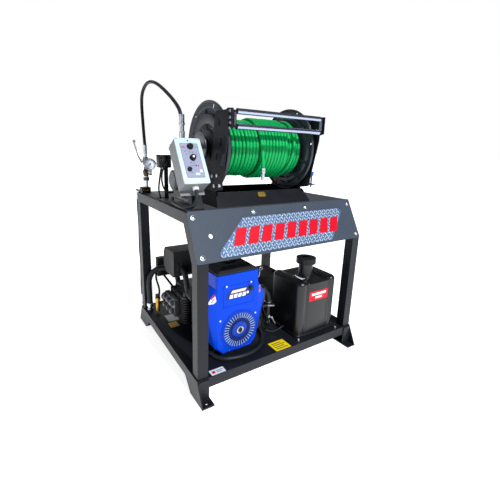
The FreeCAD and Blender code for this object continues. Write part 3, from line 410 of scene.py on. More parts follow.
def woundRoute(setup):  # from the core outwards, ending with the tail that hangs in front
    grow = 1 / (0.5 + 0.5 * math.cos(math.pi / setup["corners"]))
    points = []
    angle = 0.0
    step = math.tau / setup["corners"]
    widths = [1.0] * setup["turns"]
    for place, wider in setup["wideTurns"]:
        widths[place] = wider
    whole = sum(widths)
    reach = setup["right"] - setup["left"]
    for number, radius in enumerate(setup["layers"]):
        order = widths if number % 2 == 0 else widths[::-1]
        gone = 0.0
        for share in order:
            wobble = dice.uniform(-setup["wobble"], setup["wobble"])
            for corner in range(setup["corners"]):
                along = (gone + share * corner / setup["corners"]) / whole
                x = setup["left"] + reach * (along if number % 2 == 0 else 1 - along)
                spread = (radius + wobble) * grow
                points.append((x, angle, spread))
                angle += step
            gone += share
    outer = setup["layers"][-1]
    for corner in range(setup["corners"]):  # climbing onto the short top layer
        share = (corner + 0.5) / setup["corners"]
        x = setup["right"] + (setup["upperRight"] - setup["right"]) * share
        spread = outer + (setup["upper"] - outer) * min(1, share * setup["runUpSpeed"])
        points.append((x, angle, spread * grow))
        angle += step
    while x > setup["upperLeft"]:
        bump = dice.uniform(-setup["upperWobble"], setup["upperWobble"])
        points.append((x, angle, (setup["upper"] + bump) * grow))
        angle += step
        x -= setup["pitch"] / setup["corners"]
    front = math.ceil((angle - math.pi) / math.tau) * math.tau + math.pi
    while angle < front - step * 0.6:
        points.append((setup["upperLeft"], angle, setup["upper"] * grow))
        angle += step
    route = [at(px, setup["axleY"] + math.cos(a) * r, setup["axleZ"] + math.sin(a) * r)
             for px, a, r in points]
    for dropY, dropZ in setup["drops"]:
        route.append(at(setup["upperLeft"], dropY, dropZ))
    return route


woundPoints = woundRoute(reel)
woundHose = cordCurve("woundHose", woundPoints, reel["width"], "greenHose", "drum", "wound_hose",
                      rings=2, along=2)
mm(reel["width"])

slope = {"footY": 5.0, "footZ": 647.0, "headY": 110.0, "headZ": 843.0, "sheet": 5.0, "badge": 3.0}
slopeRun = math.hypot(slope["headY"] - slope["footY"], slope["headZ"] - slope["footZ"])
slopeY = (slope["headY"] - slope["footY"]) / slopeRun
slopeZ = (slope["headZ"] - slope["footZ"]) / slopeRun


def onBadge(x, s, w):  # s is up the slope, w out from the badge's face
    lift = w + slope["sheet"] + slope["badge"]
    return at(x, slope["footY"] + slopeY * s - slopeZ * lift,
              slope["footZ"] + slopeZ * s + slopeY * lift)


badge = {"low": 19, "high": 171, "pitch": 15.0, "bar": (9.8, 3.1), "rise": 1.5, "turn": 52,
         "blocks": 9, "blockLeft": 186, "blockPitch": 73, "blockWide": 54, "blockLow": 54,
         "blockHigh": 130, "blockLean": 34, "left": 120, "leftFrom": 30, "leftSlope": 1.06,
         "right": 766, "rightFrom": 12, "rightSlope": 0.86, "rightUpTo": 160, "rightEnd": 876,
         "shift": 8}
bm = bmesh.new()
rows = int((badge["high"] - badge["low"]) / badge["pitch"]) + 1
for row in range(rows):
    s = badge["low"] + row * badge["pitch"]
    x = badge["left"] + max(0, s - badge["leftFrom"]) * badge["leftSlope"]  # the slanted ends
    stop = badge["right"] + (s - badge["rightFrom"]) * badge["rightSlope"]
    if s >= badge["rightUpTo"]:
        stop = badge["rightEnd"]
    if row % 2:
        x += badge["shift"]
    column = 0
    while x < stop:
        lean = math.radians(badge["turn"] if (row + column) % 2 else -badge["turn"])
        spot = spotOn(onBadge, x, s, badge["rise"] / 2, lean)
        shape = Matrix.Diagonal((badge["bar"][0] / 10, badge["bar"][1] / 10, 1, 1))
        bmesh.ops.create_cone(bm, cap_ends=True, segments=6, radius1=mm(10), radius2=mm(7),
                              depth=mm(badge["rise"]), matrix=spot @ shape)
        x += badge["pitch"]
        column += 1
newPiece("badgeTread", bm, "treadBar", "frame", mend=False)

bm = bmesh.new()
for number in range(badge["blocks"]):
    u = badge["blockLeft"] + number * badge["blockPitch"]
    lean = badge["blockLean"]
    plateOn(bm, onBadge, [(u, badge["blockLow"]), (u + badge["blockWide"], badge["blockLow"]),
                          (u + badge["blockWide"] + lean, badge["blockHigh"]),
                          (u + lean, badge["blockHigh"])], 0, badge["rise"] + 0.5, 0, 0.4)
newPiece("badgeBlocks", bm, "markRed", "frame")

domes = [(29, 196), (34, 24), (333, 199), (651, 199), (963, 196), (965, 24)]
bm = bmesh.new()
slopeOut = onBadge(0, 0, 1) - onBadge(0, 0, 0)
for x, s in domes:
    spunIn(bm, [(0, 6.2), (4, 5.8), (7.5, 4.2), (9, 2), (9.2, 1.4), (11.5, 1.2), (11.5, -0.2)],
           onBadge(x, s, -slope["badge"]), slopeOut.normalized(), 28)
newPiece("fasciaDomes", bm, "zinc", "frame")
print("badge made")


def onEngine(x, z, w):  # w is out from the blower housing's face
    return at(x, engine["front"] - w, z)


engine = {"shaftX": 270, "shaftZ": 245, "panel": (176, 348, 378, 487), "front": 90,
          "plate": [(193, 416), (322, 414), (334, 424), (334, 452), (322, 466), (219, 466),
                    (193, 440)],
          "blocks": (208, 232, 256, 280), "bead": 3}
bm = bmesh.new()
x0, x1, z0, z1 = engine["panel"]
bead = engine["bead"]
for bar in ((x0, x1, z0, z0 + bead), (x0, x1, z1 - bead, z1), (x0, x0 + bead, z0, z1),
            (x1 - bead, x1, z0, z1)):
    plateOn(bm, onEngine, rect(*bar), -0.5, 1.6, 0, 0.8, 2)
shaftSpot = at(engine["shaftX"], engine["front"], engine["shaftZ"])
outward = Vector((0, -1, 0))
ringIn(bm, shaftSpot, outward, 104, 2.4, 72, 6)
newPiece("housingRibs", bm, "engineBlue", "frame")

bm = bmesh.new()
plateOn(bm, onEngine, engine["plate"], -0.2, 1.2, 0, 0.4)
plateOn(bm, onEngine, [(216, 446), (296, 446), (304, 459), (224, 459)], 1.2, 1.7, 1)
for x in engine["blocks"]:
    plateOn(bm, onEngine, [(x, 420), (x + 18, 420), (x + 22, 439), (x + 4, 439)], 1.2, 1.7, 2)
plateOn(bm, onEngine, rect(305, 316, 428, 440, 2), 1.2, 1.7, 2)
newPiece("engineName", bm, ["plateBlue", "markCream", "markWhite"], "frame")

screen = {"ribs": 36, "paintedShadeDisc": [(0, -3), (90, -3)], "hoops": (55, 69),
          "inner": [(18, 3), (22, 6), (36, 4.5), (42, 1.5), (42, -1)],
          "outer": [(82, 0), (85, 3), (91, 4.5), (96, 3), (98, 0)],
          # paint, turn, inner end, outer end, height, radius at each end
          "bands": ((1, 0.0, 62, 88, 2.2, 1.5, 2.2), (0, 0.5, 41, 84, 0.2, 1.1, 1.3))}
bm = bmesh.new()
# a black disc behind the screen: painted shade standing in for the dark inside of the housing seen
# through the gaps
spunIn(bm, screen["paintedShadeDisc"], shaftSpot, outward, 48)
for paintedShadeDisc in bm.faces:
    paintedShadeDisc.material_index = 2
spunIn(bm, screen["inner"], shaftSpot, outward, 64)
spunIn(bm, screen["outer"], shaftSpot, outward, 72)
for radius in screen["hoops"]:
    ringIn(bm, shaftSpot + outward * mm(1), outward, radius, 1.0, 64, 6)
for paint, share, near, far, height, thin, thick in screen["bands"]:
    known = set(bm.faces)
    for step in range(screen["ribs"]):
        around = math.tau * (step + share) / screen["ribs"]
        ray = Vector((math.cos(around), 0, math.sin(around)))
        base = shaftSpot + outward * mm(height)
        rodIn(bm, base + ray * mm(near), base + ray * mm(far), thin, 6, thick)
    for rib in set(bm.faces) - known:
        rib.material_index = paint
fanScreen = newPiece("fanScreen", bm, ["screenBlue", "screenRib", "needleBlack"], "frame")
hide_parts("fan_guard")
bm = bmesh.new()
spunIn(bm, [(12, 2), (13, 9), (16, 10), (19, 9), (20, 5), (20, 1)], shaftSpot, outward, 40)
newPiece("hubRing", bm, "zinc", "frame")
bm = bmesh.new()
spunIn(bm, [(0, 5), (9, 4), (12, 2), (12, 0)], shaftSpot, outward, 32)
spunIn(bm, [(0, 12), (8, 12), (11, 10), (11, 1)], at(327, 90, 455), outward, 32)
newPiece("engineKnobs", bm, "blackPlastic", "frame")


facets = {  # the housing's slanted front corners: a low place, along, up, and which way is out
    "left": (at(143, 90, 410), at(95, 103, 410), at(145, 90, 478), -1),
    "right": (at(373, 90, 410), at(421, 103, 410), at(371, 90, 478), 1),
}


def onFacet(which):
    low, along, up, way = facets[which]
    normal = (along - low).cross(up - low).normalized() * way

    def plane(u, v, w):
        return low + (along - low) * (u / 100) + (up - low) * (v / 100) + normal * mm(w)
    return plane


bm = bmesh.new()
plateOn(bm, onFacet("left"), [(6, 20), (30, 3), (92, 3), (60, 42), (44, 60), (24, 72)], 0.2, 0.9, 0)
plateOn(bm, onFacet("left"), [(60, 42), (44, 60), (24, 72), (19, 58), (40, 46), (54, 32)], 0.9,
        1.2, 1)
for step in range(3):
    u, v = 24 + step * 7, 36 - step * 9
    plateOn(bm, onFacet("left"), [(u, v), (u + 20, v - 6), (u + 22, v - 2), (u + 2, v + 4)], 0.9,
            1.1, 2)
plateOn(bm, onFacet("right"), [(12, 8), (40, 8), (36, 66), (10, 66)], 0.2, 0.9, 3)
plateOn(bm, onFacet("right"), [(14, 30), (36, 30), (34, 52), (13, 52)], 0.9, 1.2, 1)
plateOn(bm, onFacet("right"), [(15, 12), (36, 12), (36, 24), (15, 24)], 0.9, 1.2, 4)
newPiece("engineStickers", bm, ["markWhite", "markRed", "markInk", "markBlue", "markGold"], "frame")

handle = {"stem": (35, 770, 1024), "hub": (22, 770, 1024), "start": (19, 770, 1024),
          "bend": (14, 806, 1052), "end": (4, 842, 1126), "ball": (6, 845, 1132), "radius": 4,
          "ballRadius": 8}
bm = bmesh.new()
hub, start, bend, end = (at(*handle[k]) for k in ("hub", "start", "bend", "end"))
spunIn(bm, [(0, 6), (8, 6), (10, 4), (10, -1)], hub, Vector((-1, 0, 0)), 32)
rodIn(bm, at(*handle["stem"]), hub, handle["radius"], 20)
rodIn(bm, start, bend, handle["radius"], 12)
rodIn(bm, bend, end, handle["radius"], 12)
bmesh.ops.create_uvsphere(bm, u_segments=20, v_segments=12, radius=mm(handle["ballRadius"]),
                          matrix=Matrix.Translation(at(*handle["ball"])))
valveHandle = newPiece("valveHandle", bm, "dullSteel", "valve_lever")
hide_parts("valve_lever")

bm = bmesh.new()
ringIn(bm, at(430, 150, 512), Vector((0.2, -1, 0)), 10, 1.6, 32, 8)
rodIn(bm, at(424, 150, 498), at(418, 150, 470), 2, 10)
newPiece("liftRing", bm, "zinc", "frame")
cordCurve("intakeElbow", [at(416, 172, 404), at(450, 171, 396), at(482, 170, 374), at(500, 170, 344),
                          at(506, 170, 300)], 36, "blackPlastic", "frame", rings=3, along=5)
bm = bmesh.new()
rodIn(bm, at(497, 168, 284), at(541, 168, 273), 8, 20)
rodIn(bm, at(548, 186, 190), at(566, 178, 150), 6, 20)
for x, z in ((510, 215), (507, 185)):
    spunIn(bm, [(0, 9), (8, 9), (10, 6), (10, 0)], at(x, 170, z), outward, 24)
ringIn(bm, at(505, 170, 306), Vector((0, 0, 1)), 19, 2.2, 40, 8)
newPiece("intakeUnions", bm, "zinc", "frame")
bm = bmesh.new()
rodIn(bm, at(507, 174, 300), at(507, 174, 168), 13, 24)
rodIn(bm, at(507, 174, 280), at(470, 176, 280), 9, 20)
newPiece("intakeStem", bm, "pumpBlack", "frame")
print("engine trim made")

discs = {"centreX": 448.0, "half": 235.5, "sheet": 2.6, "steps": 96, "holes": 6, "band": (181, 198),
         "holeTurn": 0.2, "ribTurn": 0.35, "ribs": ((74, 112), (143, 178)), "boltCircle": 94,
         "outline": [(15, 3), (44, 3), (50, 12), (76, 13), (84, 2), (102, 1), (109, 11), (113, 13),
                     (145, 13), (149, 10), (154, 0), (168, 0), (175, 9), (179, 10), (199, 10),
                     (202, 13), (206, 13), (209, 10), (209, 1), (207, -2)]}


def mirrored(x, side):  # a place on the reel's left half, or its match on the right half
    return x if side < 0 else 2 * discs["centreX"] - x


bm = bmesh.new()
for side in (-1, 1):
    axis = Vector((side, 0, 0))
    middle = at(discs["centreX"] + side * discs["half"], reel["axleY"], reel["axleZ"])
    spunIn(bm, discs["outline"], middle, axis, discs["steps"])
bmesh.ops.remove_doubles(bm, verts=bm.verts, dist=1e-6)
doomed = []
turnStep = math.tau / discs["holes"]
low, high = discs["band"]
for face in bm.faces:  # small windows in the flat band
    spot = face.calc_center_median()
    around = math.atan2(spot.z - mm(reel["axleZ"]), spot.y - mm(reel["axleY"] - 418))
    away = math.hypot(spot.z - mm(reel["axleZ"]), spot.y - mm(reel["axleY"] - 418))
    offset = (around + discs["holeTurn"]) % turnStep
    if mm(low) < away < mm(high) and offset < math.tau / discs["steps"]:
        doomed.append(face)
bmesh.ops.inset_individual(bm, faces=doomed, thickness=mm(2.0))
bmesh.ops.delete(bm, geom=doomed, context="FACES")
bmesh.ops.recalc_face_normals(bm, faces=bm.faces)
bmesh.ops.solidify(bm, geom=bm.faces[:], thickness=mm(discs["sheet"]))
for side in (-1, 1):
    for number in range(6):
        around = math.tau * (number + discs["ribTurn"]) / 6
        ray = Vector((0, math.cos(around), math.sin(around)))
        middle = at(discs["centreX"] + side * (discs["half"] + 1.5), reel["axleY"], reel["axleZ"])
        for near, far in discs["ribs"]:
            rodIn(bm, middle + ray * mm(near), middle + ray * mm(far), 9, 12, 8)
sideDiscs = newPiece("sideDiscs", bm, "reelGrey", "drum", mend=False)
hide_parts("drum_discs")

bm = bmesh.new()
for side in (-1, 1):
    axis = Vector((side, 0, 0))
    for number in range(6):
        around = math.tau * number / 6
        ray = Vector((0, math.cos(around), math.sin(around)))
        middle = at(discs["centreX"] + side * (discs["half"] + 1.5), reel["axleY"], reel["axleZ"])
        boltIn(bm, middle + ray * mm(discs["boltCircle"]), axis, 6, 5)
newPiece("discBolts", bm, "dullSteel", "drum")

arms = {"outside": 186.0, "plate": 190.0, "bolts": [(82, 1250), (80, 1226), (79, 1205), (82, 1184)],
        "pad": [(122, 1030), (152, 1030), (138, 1078), (112, 1078)]}
bm = bmesh.new()
for side in (-1, 1):
    face = mirrored(arms["plate"], side)
    for y, z in arms["bolts"]:
        boltIn(bm, at(face, y, z), Vector((side, 0, 0)), 5, 4.5, 1.3)
newPiece("armBolts", bm, "zinc", "frame")

bm = bmesh.new()
for side in (-1, 1):
    face = mirrored(arms["outside"], side)

    def onArm(y, z, w, face=face, side=side):
        return at(face + side * w, y, z)

    plateOn(bm, onArm, arms["pad"], 0, 1.2, 0, 0.5)
newPiece("armPads", bm, "reelGrey", "frame")

guide = {"y": 72, "high": 1250, "low": 1191, "end": 190, "sideX": 16, "thick": 4,
         "plate": [(60, 1182), (104, 1176), (127, 1190), (127, 1252), (104, 1264), (60, 1260)]}
bm = bmesh.new()
for side in (-1, 1):
    start = mirrored(guide["end"], side)

    def onEnd(y, z, w, start=start, side=side):
        return at(start - side * w, y, z)

    plateOn(bm, onEnd, guide["plate"], 0, guide["thick"], 0, 0.8)
    pinX = start - side * guide["sideX"]
    rodIn(bm, at(pinX, guide["y"], guide["low"]), at(pinX, guide["y"], guide["high"]), 4, 16)
for z in (guide["low"], guide["high"]):
    rodIn(bm, at(guide["end"], guide["y"], z), at(mirrored(guide["end"], 1), guide["y"], z), 5, 16)
rollerEnds = newPiece("rollerEnds", bm, "reelBlack", "frame")
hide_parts("roller_brackets")


def onBase(x, z, w):  # the reel base's sloping front
    return at(x, 167 - w + (z - 880) * 0.74, z)


bm = bmesh.new()
plateOn(bm, onBase, rect(411, 455, 881, 902, 8), 0.4, 1.6, 0, 0.6)
newPiece("baseMark", bm, "markGold", "frame")
print("reel trim made")

face = {"left": 3.0, "front": 111.0, "low": 962.0, "lean": math.radians(31.4), "wide": 116.0,
        "high": 210.0}
faceUp = Vector((0, math.sin(face["lean"]), math.cos(face["lean"])))
faceOut = Vector((0, -math.cos(face["lean"]), math.sin(face["lean"])))


def onFace(u, v, w):  # the control box's front
    return at(face["left"] + u, face["front"], face["low"]) + faceUp * mm(v) + faceOut * mm(w)


bm = bmesh.new()
plateOn(bm, onFace, rect(-0.6, face["wide"] + 0.6, -0.6, face["high"] + 0.6, 5), -5, 0.4, 0, 1.5, 2)
newPiece("boxLid", bm, "lidGrey", "frame")
bm = bmesh.new()
plateOn(bm, onFace, rect(17, 99, 25, 185, 6), 0.3, 0.6, 1)
plateOn(bm, onFace, rect(18.5, 97.5, 26.5, 183.5, 5), 0.5, 0.9, 0)
plateOn(bm, onFace, rect(58, 78, 36, 47, 2), 0.9, 1.1, 2)
for u in (24, 29.5, 35):  # a plain red mark
    plateOn(bm, onFace, rect(u, u + 4, 163, 171 - (u - 24) * 0.3), 0.9, 1.3, 3)
plateOn(bm, onFace, disc(87, 168, 4.6), 0.9, 3.0, 4, 1.0, 2)
plateOn(bm, onFace, disc(58, 198, 3.4), 0, 0.6, 5)
plateOn(bm, onFace, disc(78, 79, 3.2), 0.9, 2.0, 3)
plateOn(bm, onFace, disc(69, 80, 3.0), 0.9, 2.0, 5)
plateOn(bm, onFace, rect(80, 92, 49, 61, 1.5), 0.9, 1.3, 6)
plateOn(bm, onFace, rect(83, 89, 52, 58, 1), 1.3, 1.8, 7)
for u, v, wide in ((30, 146, 10), (50, 142, 8), (66, 142, 6), (44, 92, 12), (60, 91, 8), (46, 79, 8),
                   (56, 80, 6), (28, 74, 8), (40, 48, 8), (36, 132, 5), (82, 132, 5)):
    plateOn(bm, onFace, rect(u, u + wide, v, v + 2.2), 0.9, 1.15, 1)
for step in range(9):  # the dial marks round the middle knob
    around = math.radians(-40 + 32.5 * step)
    plateOn(bm, onFace, disc(61 - 16.5 * math.cos(around), 115 + 16.5 * math.sin(around), 1.1, 8),
            0.9, 1.2, 6)
newPiece("boxPanel", bm, ["panelLavender", "markInk", "lidGrey", "markRed", "markGreen",
                          "blackPlastic", "markWhite", "markAmber"], "frame")

bm = bmesh.new()
for u, v in ((6, 6), (110, 6), (6, 204), (110, 204)):
    spot = onFace(u, v, 0)
    spunIn(bm, [(0, 1.8), (1.8, 1.6), (3.2, 0.6), (3.4, -0.5)], spot, faceOut, 16)
spunIn(bm, [(0, 13), (5, 12), (7, 9), (7, 5), (4, 3), (4, -2)], onFace(face["wide"], 168, -24),
       Vector((1, 0, 0)), 24)
newPiece("boxScrews", bm, "zinc", "frame")

bm = bmesh.new()
spunIn(bm, [(0, 2.4), (4.55, 2.0), (6.5, 0.8), (6.9, -0.5)], onFace(61, 115, 16.9), faceOut, 24)
newPiece("knobTop", bm, "zinc", "speed_knob")
for knobBody, u, v, radius in (("mode_knob", 61, 168, 12.5), ("speed_knob", 61, 115, 12.5),
                               ("direction_knob", 35, 62, 8.5)):
    bm = bmesh.new()
    spunIn(bm, [(radius - 2, 1.6), (radius, 1.7), (radius + 1.5, 2.6), (radius + 1, 5),
                (radius - 2.5, 7)], onFace(u, v, 0), faceOut, 36)
    for step in range(12):  # grip ribs
        around = math.tau * step / 12
        foot = onFace(u + (radius - 1) * math.cos(around), v + (radius - 1) * math.sin(around), 4)
        rodIn(bm, foot, foot + faceOut * mm(7), 1.5, 8)
    newPiece(knobBody.split("_")[0] + "KnobGrip", bm, "blackPlastic", knobBody)
print("control box made")

gauge = {"place": (56, 723, 1009), "turn": math.radians(32), "ticks": 41, "sweep": 270}
gaugeOut = Vector((-math.sin(gauge["turn"]), -math.cos(gauge["turn"]), 0))
gaugeSide = Vector((math.cos(gauge["turn"]), -math.sin(gauge["turn"]), 0))


def onDial(u, v, w):
    return at(*gauge["place"]) + gaugeSide * mm(u) + Vector((0, 0, mm(v))) + gaugeOut * mm(w)


bm = bmesh.new()
plateOn(bm, onDial, disc(0, 0, 27.9, 48), -1.2, -0.4, 0)
for step in range(gauge["ticks"]):
    around = math.radians(225 - gauge["sweep"] * step / (gauge["ticks"] - 1))
    far, near = 25.5, 22.0 if step % 4 else 18.5
    half = 0.35 if step % 4 else 0.6
    ray = (math.cos(around), math.sin(around))
    across = (-ray[1] * half, ray[0] * half)
    plateOn(bm, onDial, [(ray[0] * near - across[0], ray[1] * near - across[1]),
                         (ray[0] * far - across[0], ray[1] * far - across[1]),
                         (ray[0] * far + across[0], ray[1] * far + across[1]),
                         (ray[0] * near + across[0], ray[1] * near + across[1])], -0.4, -0.2, 1)
plateOn(bm, onDial, rect(-8, 8, -17, -14.5), -0.4, -0.2, 1)
newPiece("gaugeDial", bm, ["dialFace", "markInk"], "frame")
bm = bmesh.new()
spunIn(bm, [(27.6, 3), (27.6, 6.4), (29.5, 8.2), (32, 7.6), (33, 5), (33, -2), (31, -3)],
       onDial(0, 0, 0), gaugeOut, 56)
spunIn(bm, [(8, 0), (10, 2), (10, 14), (8, 16)], at(56, 723, 956), Vector((0, 0, 1)), 6)
newPiece("gaugeRim", bm, "gaugeSteel", "frame")

riser = {"x": 45, "y": 770}
upward = Vector((0, 0, 1))
bm = bmesh.new()
spunIn(bm, [(8, 914), (17, 916), (17, 934), (13, 938), (13, 946), (16, 949), (17, 970), (15, 974),
            (11, 978), (11, 992), (9, 994)], at(riser["x"], riser["y"], 0), upward, 24)
rodIn(bm, at(riser["x"] + 12, riser["y"], 958), at(riser["x"] + 26, riser["y"] - 6, 958), 6, 16)
newPiece("riserUnions", bm, "oldBrass", "frame")
bm = bmesh.new()
rodIn(bm, at(riser["x"] + 25, riser["y"] - 6, 946), at(riser["x"] + 25, riser["y"] - 6, 974), 9,
      10, 8)
plateOn(bm, at, rect(11, 63, 747, 793, 2), 846.5, 879, 0, 1.5, 2)
newPiece("cornerBlock", bm, "blackPlastic", "frame")


def onCorner(x, z, w):  # the corner block's front
    return at(x, 747 - w, z)


bm = bmesh.new()
for step in range(5):
    plateOn(bm, onCorner, rect(18 + step * 9, 23 + step * 9, 858, 866), 0, 0.6)
newPiece("cornerMarks", bm, "markGold", "frame")
print("gauge and riser made")


def levelAt(height):  # a level plane
    def plane(x, y, w):
        return at(x, y, height + w)
    return plane


trayTop = 111
onTray = levelAt(trayTop)
tank = {"left": 612, "right": 892, "front": 45, "back": 290, "top": 428, "sunk": 14, "pod": 60,
        "lips": (54, 66), "channel": 62, "cap": (745, 152),
        "neck": [(34, 395), (46, 413), (45, 418), (42, 424), (39, 432), (39, 496)]}
left, right, front, back = (tank[k] for k in ("left", "right", "front", "back"))
shoulder = tank["top"] - trayTop - tank["sunk"]
bm = bmesh.new()
plateOn(bm, onTray, rect(left - 5, right + 1, front - 7, back + 3, 26, 5), 0.2, 15, 0, 5, 3)
plateOn(bm, onTray, rect(left + 20, right - 20, front + 2, back - 3, 4), 10, shoulder, 0, 3, 2)
for start, stop, radii in ((left, left + tank["pod"], (24, 24, 34, 34)),
                           (right - tank["pod"], right, (34, 34, 24, 24))):
    plateOn(bm, onTray, rect(start, stop, front - 1, back, radii, 6), 12, shoulder + tank["sunk"],
            0, 22, 7)
near, far = tank["lips"]
for start, stop in ((left + near, left + far), (right - far, right - near)):  # beside the channel
    plateOn(bm, onTray, rect(start, stop, front + 14, back - 10, 4.5), shoulder - 20, shoulder + 7,
            0, 3, 2)
plateOn(bm, onTray, rect(left + tank["channel"], right - tank["channel"], front - 0.5, front + 20, 8),
        20, shoulder + 1.5, 0, 6, 3)
neck = at(*tank["cap"], 0)
spunIn(bm, tank["neck"], neck, upward, 48)
bmesh.ops.recalc_face_normals(bm, faces=bm.faces)
tankShell = newPiece("tankShell", bm, "tankPlastic", "frame", smooth=40)
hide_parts("fuel_tank")


def onTank(x, z, w):
    return at(x, front - w, z)


bm = bmesh.new()
plateOn(bm, onTank, rect(684, 824, 310, 365, 3), 0.4, 1.2, 0)
plateOn(bm, onTank, rect(702, 808, 341, 354), 1.2, 1.5, 1)
plateOn(bm, onTank, rect(730, 780, 321, 333), 1.2, 1.5, 1)
plateOn(bm, levelAt(414), [(687, 185), (732, 190), (722, 118), (686, 116)], 0.2, 1, 1)
plateOn(bm, levelAt(415), [(698, 168), (720, 170), (714, 134), (698, 133)], 0, 0.5, 2)
newPiece("tankLabels", bm, ["markRed", "markWhite", "markBlue"], "frame")
bm = bmesh.new()
ringIn(bm, at(680, 158, 436), Vector((0.3, -1, 0.1)), 15, 2.2, 32, 8)
newPiece("capStrap", bm, "blackPlastic", "frame")

stickers = {"white": ((75, 148, 4, 40), 0), "yellow": ((444, 541, 4, 80), 1),
            "silverTag": ((78, 142, 552, 634), 3),
            "goldTag": ((66, 116, 484, 540), 2)}
bm = bmesh.new()
for outline, paint in stickers.values():
    plateOn(bm, onTray, rect(*outline, 2), 0.2, 0.9, paint)
for step in range(4):
    low = 16 + step * 15
    plateOn(bm, onTray, rect(456, 530 - (step % 2) * 14, low, low + 5), 0.9, 1.1, 4)
plateOn(bm, onTray, rect(84, 100, 14, 30, 3), 0.9, 1.1, 5)
plateOn(bm, onTray, rect(106, 140, 24, 28), 0.9, 1.1, 4)
plateOn(bm, onTray, rect(106, 132, 15, 18), 0.9, 1.1, 4)
newPiece("trayStickers", bm, ["markWhite", "markYellow", "tagGold", "tagSilver", "markInk",
                              "markRed"], "frame")
print("tank and stickers made")

muffler = {"front": 482, "port": (136, 459),
           "bolts": ((112, 436), (160, 436), (112, 482), (160, 482)), "ribs": (220, 300, 370), "ribLow": 420, "ribHigh": 548}
bm = bmesh.new()
portX, portZ = muffler["port"]
spunIn(bm, [(14, -4), (16, 1), (27, 2), (30, 0), (30, -4)], at(portX, muffler["front"], portZ),
       outward, 40)
for x, z in muffler["bolts"]:
    boltIn(bm, at(x, muffler["front"], z), outward, 5, 5)
for x in muffler["ribs"]:
    rodIn(bm, at(x, muffler["front"] + 2, muffler["ribLow"]),
          at(x, muffler["front"] + 2, muffler["ribHigh"]), 5, 16)
newPiece("mufflerFace", bm, "mufflerBlack", "frame")

pump = {"left": 92, "capLeft": 78, "capYs": (520, 572, 624), "capRows": (194, 244),
        "boltYs": (500, 546, 598, 645), "boltRows": (178, 258)}
bm = bmesh.new()
for y in pump["capYs"]:
    for z in pump["capRows"]:
        boltIn(bm, at(pump["capLeft"], y, z), Vector((-1, 0, 0)), 12, 7, 1.2)
for y in pump["boltYs"]:
    for z in pump["boltRows"]:
        boltIn(bm, at(pump["left"], y, z), Vector((-1, 0, 0)), 4.5, 6, 1.3)
newPiece("pumpCaps", bm, "dullSteel", "frame")
finned = {"x": 140, "y": 440, "low": 150, "high": 306, "tip": 330, "fins": range(160, 300, 14)}
bm = bmesh.new()
foot, top, tip = (at(finned["x"], finned["y"], finned[k]) for k in ("low", "high", "tip"))
for z in finned["fins"]:
    spunIn(bm, [(24, z), (33, z + 1.5), (33, z + 4.5), (24, z + 6)],
           at(finned["x"], finned["y"], 0), upward, 32)
rodIn(bm, foot, top, 25, 32)
rodIn(bm, top, tip, 17, 24, 12)
newPiece("oilFilter", bm, "pumpBlack", "frame")
print("pump trim made")

contactor = {"studs": (40, 72), "boxes": (  # case, cover, bracket and foot
    ((24, 478, 1003), (88, 522, 1066), 4, 3), ((28, 474, 1012), (84, 479, 1044), 2, 2),
    ((64, 522, 846), (86, 526, 1060), 1, 1), ((30, 520, 846), (86, 552, 850), 1, 1))}
bm = bmesh.new()
for low, high, radius, steps in contactor["boxes"]:
    boxIn(bm, low, high, radius, steps)
for x in contactor["studs"]:
    rodIn(bm, at(x, 479, 1052), at(x, 468, 1052), 6, 16, 5)
contactorUnit = newPiece("contactorUnit", bm, "blackPlastic", "frame")
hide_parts("contactor")

leads = {
    "contactorLeadA": (9, "cableBlack", [
        (40, 468, 1052), (36, 460, 1034), (30, 464, 1008), (26, 470, 976), (20, 474, 932),
        (16, 474, 896), (22, 478, 866), (30, 484, 852)]),
    "contactorLeadB": (9, "cableBlack", [
        (72, 468, 1052), (62, 458, 1036), (42, 462, 1010), (32, 468, 976), (32, 470, 930),
        (46, 470, 892), (70, 464, 876), (88, 456, 884)]),
    "sensorLeadA": (12, "cableBlack", [
        (84, 764, 372), (72, 744, 352), (66, 728, 322), (72, 716, 290), (78, 708, 258),
        (74, 700, 226), (66, 694, 206)]),
    "sensorLeadB": (13, "cableBlack", [
        (104, 764, 370), (112, 742, 346), (132, 726, 312), (154, 716, 276), (172, 706, 246),
        (182, 696, 228)]),
    "coilLead": (7, "cableBlack", [
        (440, 150, 330), (446, 140, 292), (462, 136, 252), (486, 140, 216), (500, 150, 176),
        (492, 168, 140), (470, 190, 118)]),
    "fuelLine": (9, "blackHose", [
        (612, 150, 140), (586, 144, 138), (552, 148, 124), (520, 160, 118), (494, 180, 132),
        (478, 186, 176), (468, 184, 236), (462, 180, 300)]),
}
for leadName, (width, paintName, route) in leads.items():
    places = [at(*p) for p in route]
    lead = cordCurve(leadName, places, width, paintName, "frame", rings=3, along=5)
    mm(width)
print("leads made,", len(leads))

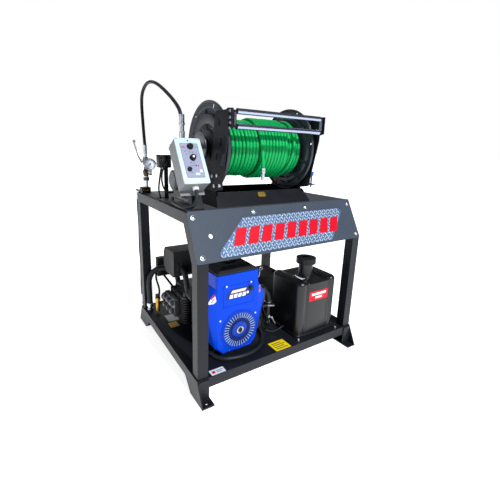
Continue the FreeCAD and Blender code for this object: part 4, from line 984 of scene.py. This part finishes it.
stageSetup = {"half": 160.0, "floorTone": (246, 247, 248), "floorGlow": 0.8, "floorDrop": -0.0005,
              "ambient": 0.1, "backdrop": 1.0}
finish("floorPaint", tone(*stageSetup["floorTone"]), 0.75, 0.0, 1.2, 0.004,
       Emission_Color=(1, 1, 1, 1), Emission_Strength=stageSetup["floorGlow"])
bm = bmesh.new()
bmesh.ops.create_grid(bm, x_segments=2, y_segments=2, size=stageSetup["half"])
bmesh.ops.translate(bm, verts=bm.verts, vec=(0, 0, stageSetup["floorDrop"]))
floorMesh = bpy.data.meshes.new("floor")
bm.to_mesh(floorMesh)
bm.free()
floorMesh.materials.append(paints["floorPaint"])
floor = bpy.data.objects.new("floor", floorMesh)
bpy.context.scene.collection.objects.link(floor)

world = bpy.data.worlds.new("studio")
world.use_nodes = True
sky = world.node_tree
ambient = sky.nodes["Background"]
ambient.inputs["Color"].default_value = (1.0, 1.0, 1.0, 1)
ambient.inputs["Strength"].default_value = stageSetup["ambient"]
backdrop = sky.nodes.new("ShaderNodeBackground")
backdrop.inputs["Color"].default_value = (1.0, 1.0, 1.0, 1)
backdrop.inputs["Strength"].default_value = stageSetup["backdrop"]
seen = sky.nodes.new("ShaderNodeLightPath")
either = sky.nodes.new("ShaderNodeMixShader")
sky.links.new(seen.outputs["Is Camera Ray"], either.inputs[0])
sky.links.new(ambient.outputs[0], either.inputs[1])
sky.links.new(backdrop.outputs[0], either.inputs[2])
sky.links.new(either.outputs[0], sky.nodes["World Output"].inputs["Surface"])
bpy.context.scene.world = world

lamps = {
    "keyLamp": {"kind": "SUN", "place": (0.3, -3.2, 3.1), "aim": (0, 0, 0.4), "size": 0.04,
                "power": 3.9},
    "sideLamp": {"kind": "AREA", "place": (-3.6, 0.4, 2.0), "aim": (0, 0, 0.6), "size": 3.0,
                 "power": 26},
    "rearLamp": {"kind": "AREA", "place": (0.6, 3.4, 3.2), "aim": (0, 0, 0.8), "size": 3.4,
                 "power": 40},
}
for lampName, facts in lamps.items():
    lampData = bpy.data.lights.new(lampName, facts["kind"])
    if facts["kind"] == "SUN":
        lampData.angle = facts["size"]
    else:
        lampData.size = facts["size"]
    lampData.energy = facts["power"]
    lamp = bpy.data.objects.new(lampName, lampData)
    heading = Vector(facts["aim"]) - Vector(facts["place"])
    lamp.matrix_world = Matrix.Translation(facts["place"]) @ heading.to_track_quat(
        "-Z", "Y").to_matrix().to_4x4()
    bpy.context.scene.collection.objects.link(lamp)
print("stage set")
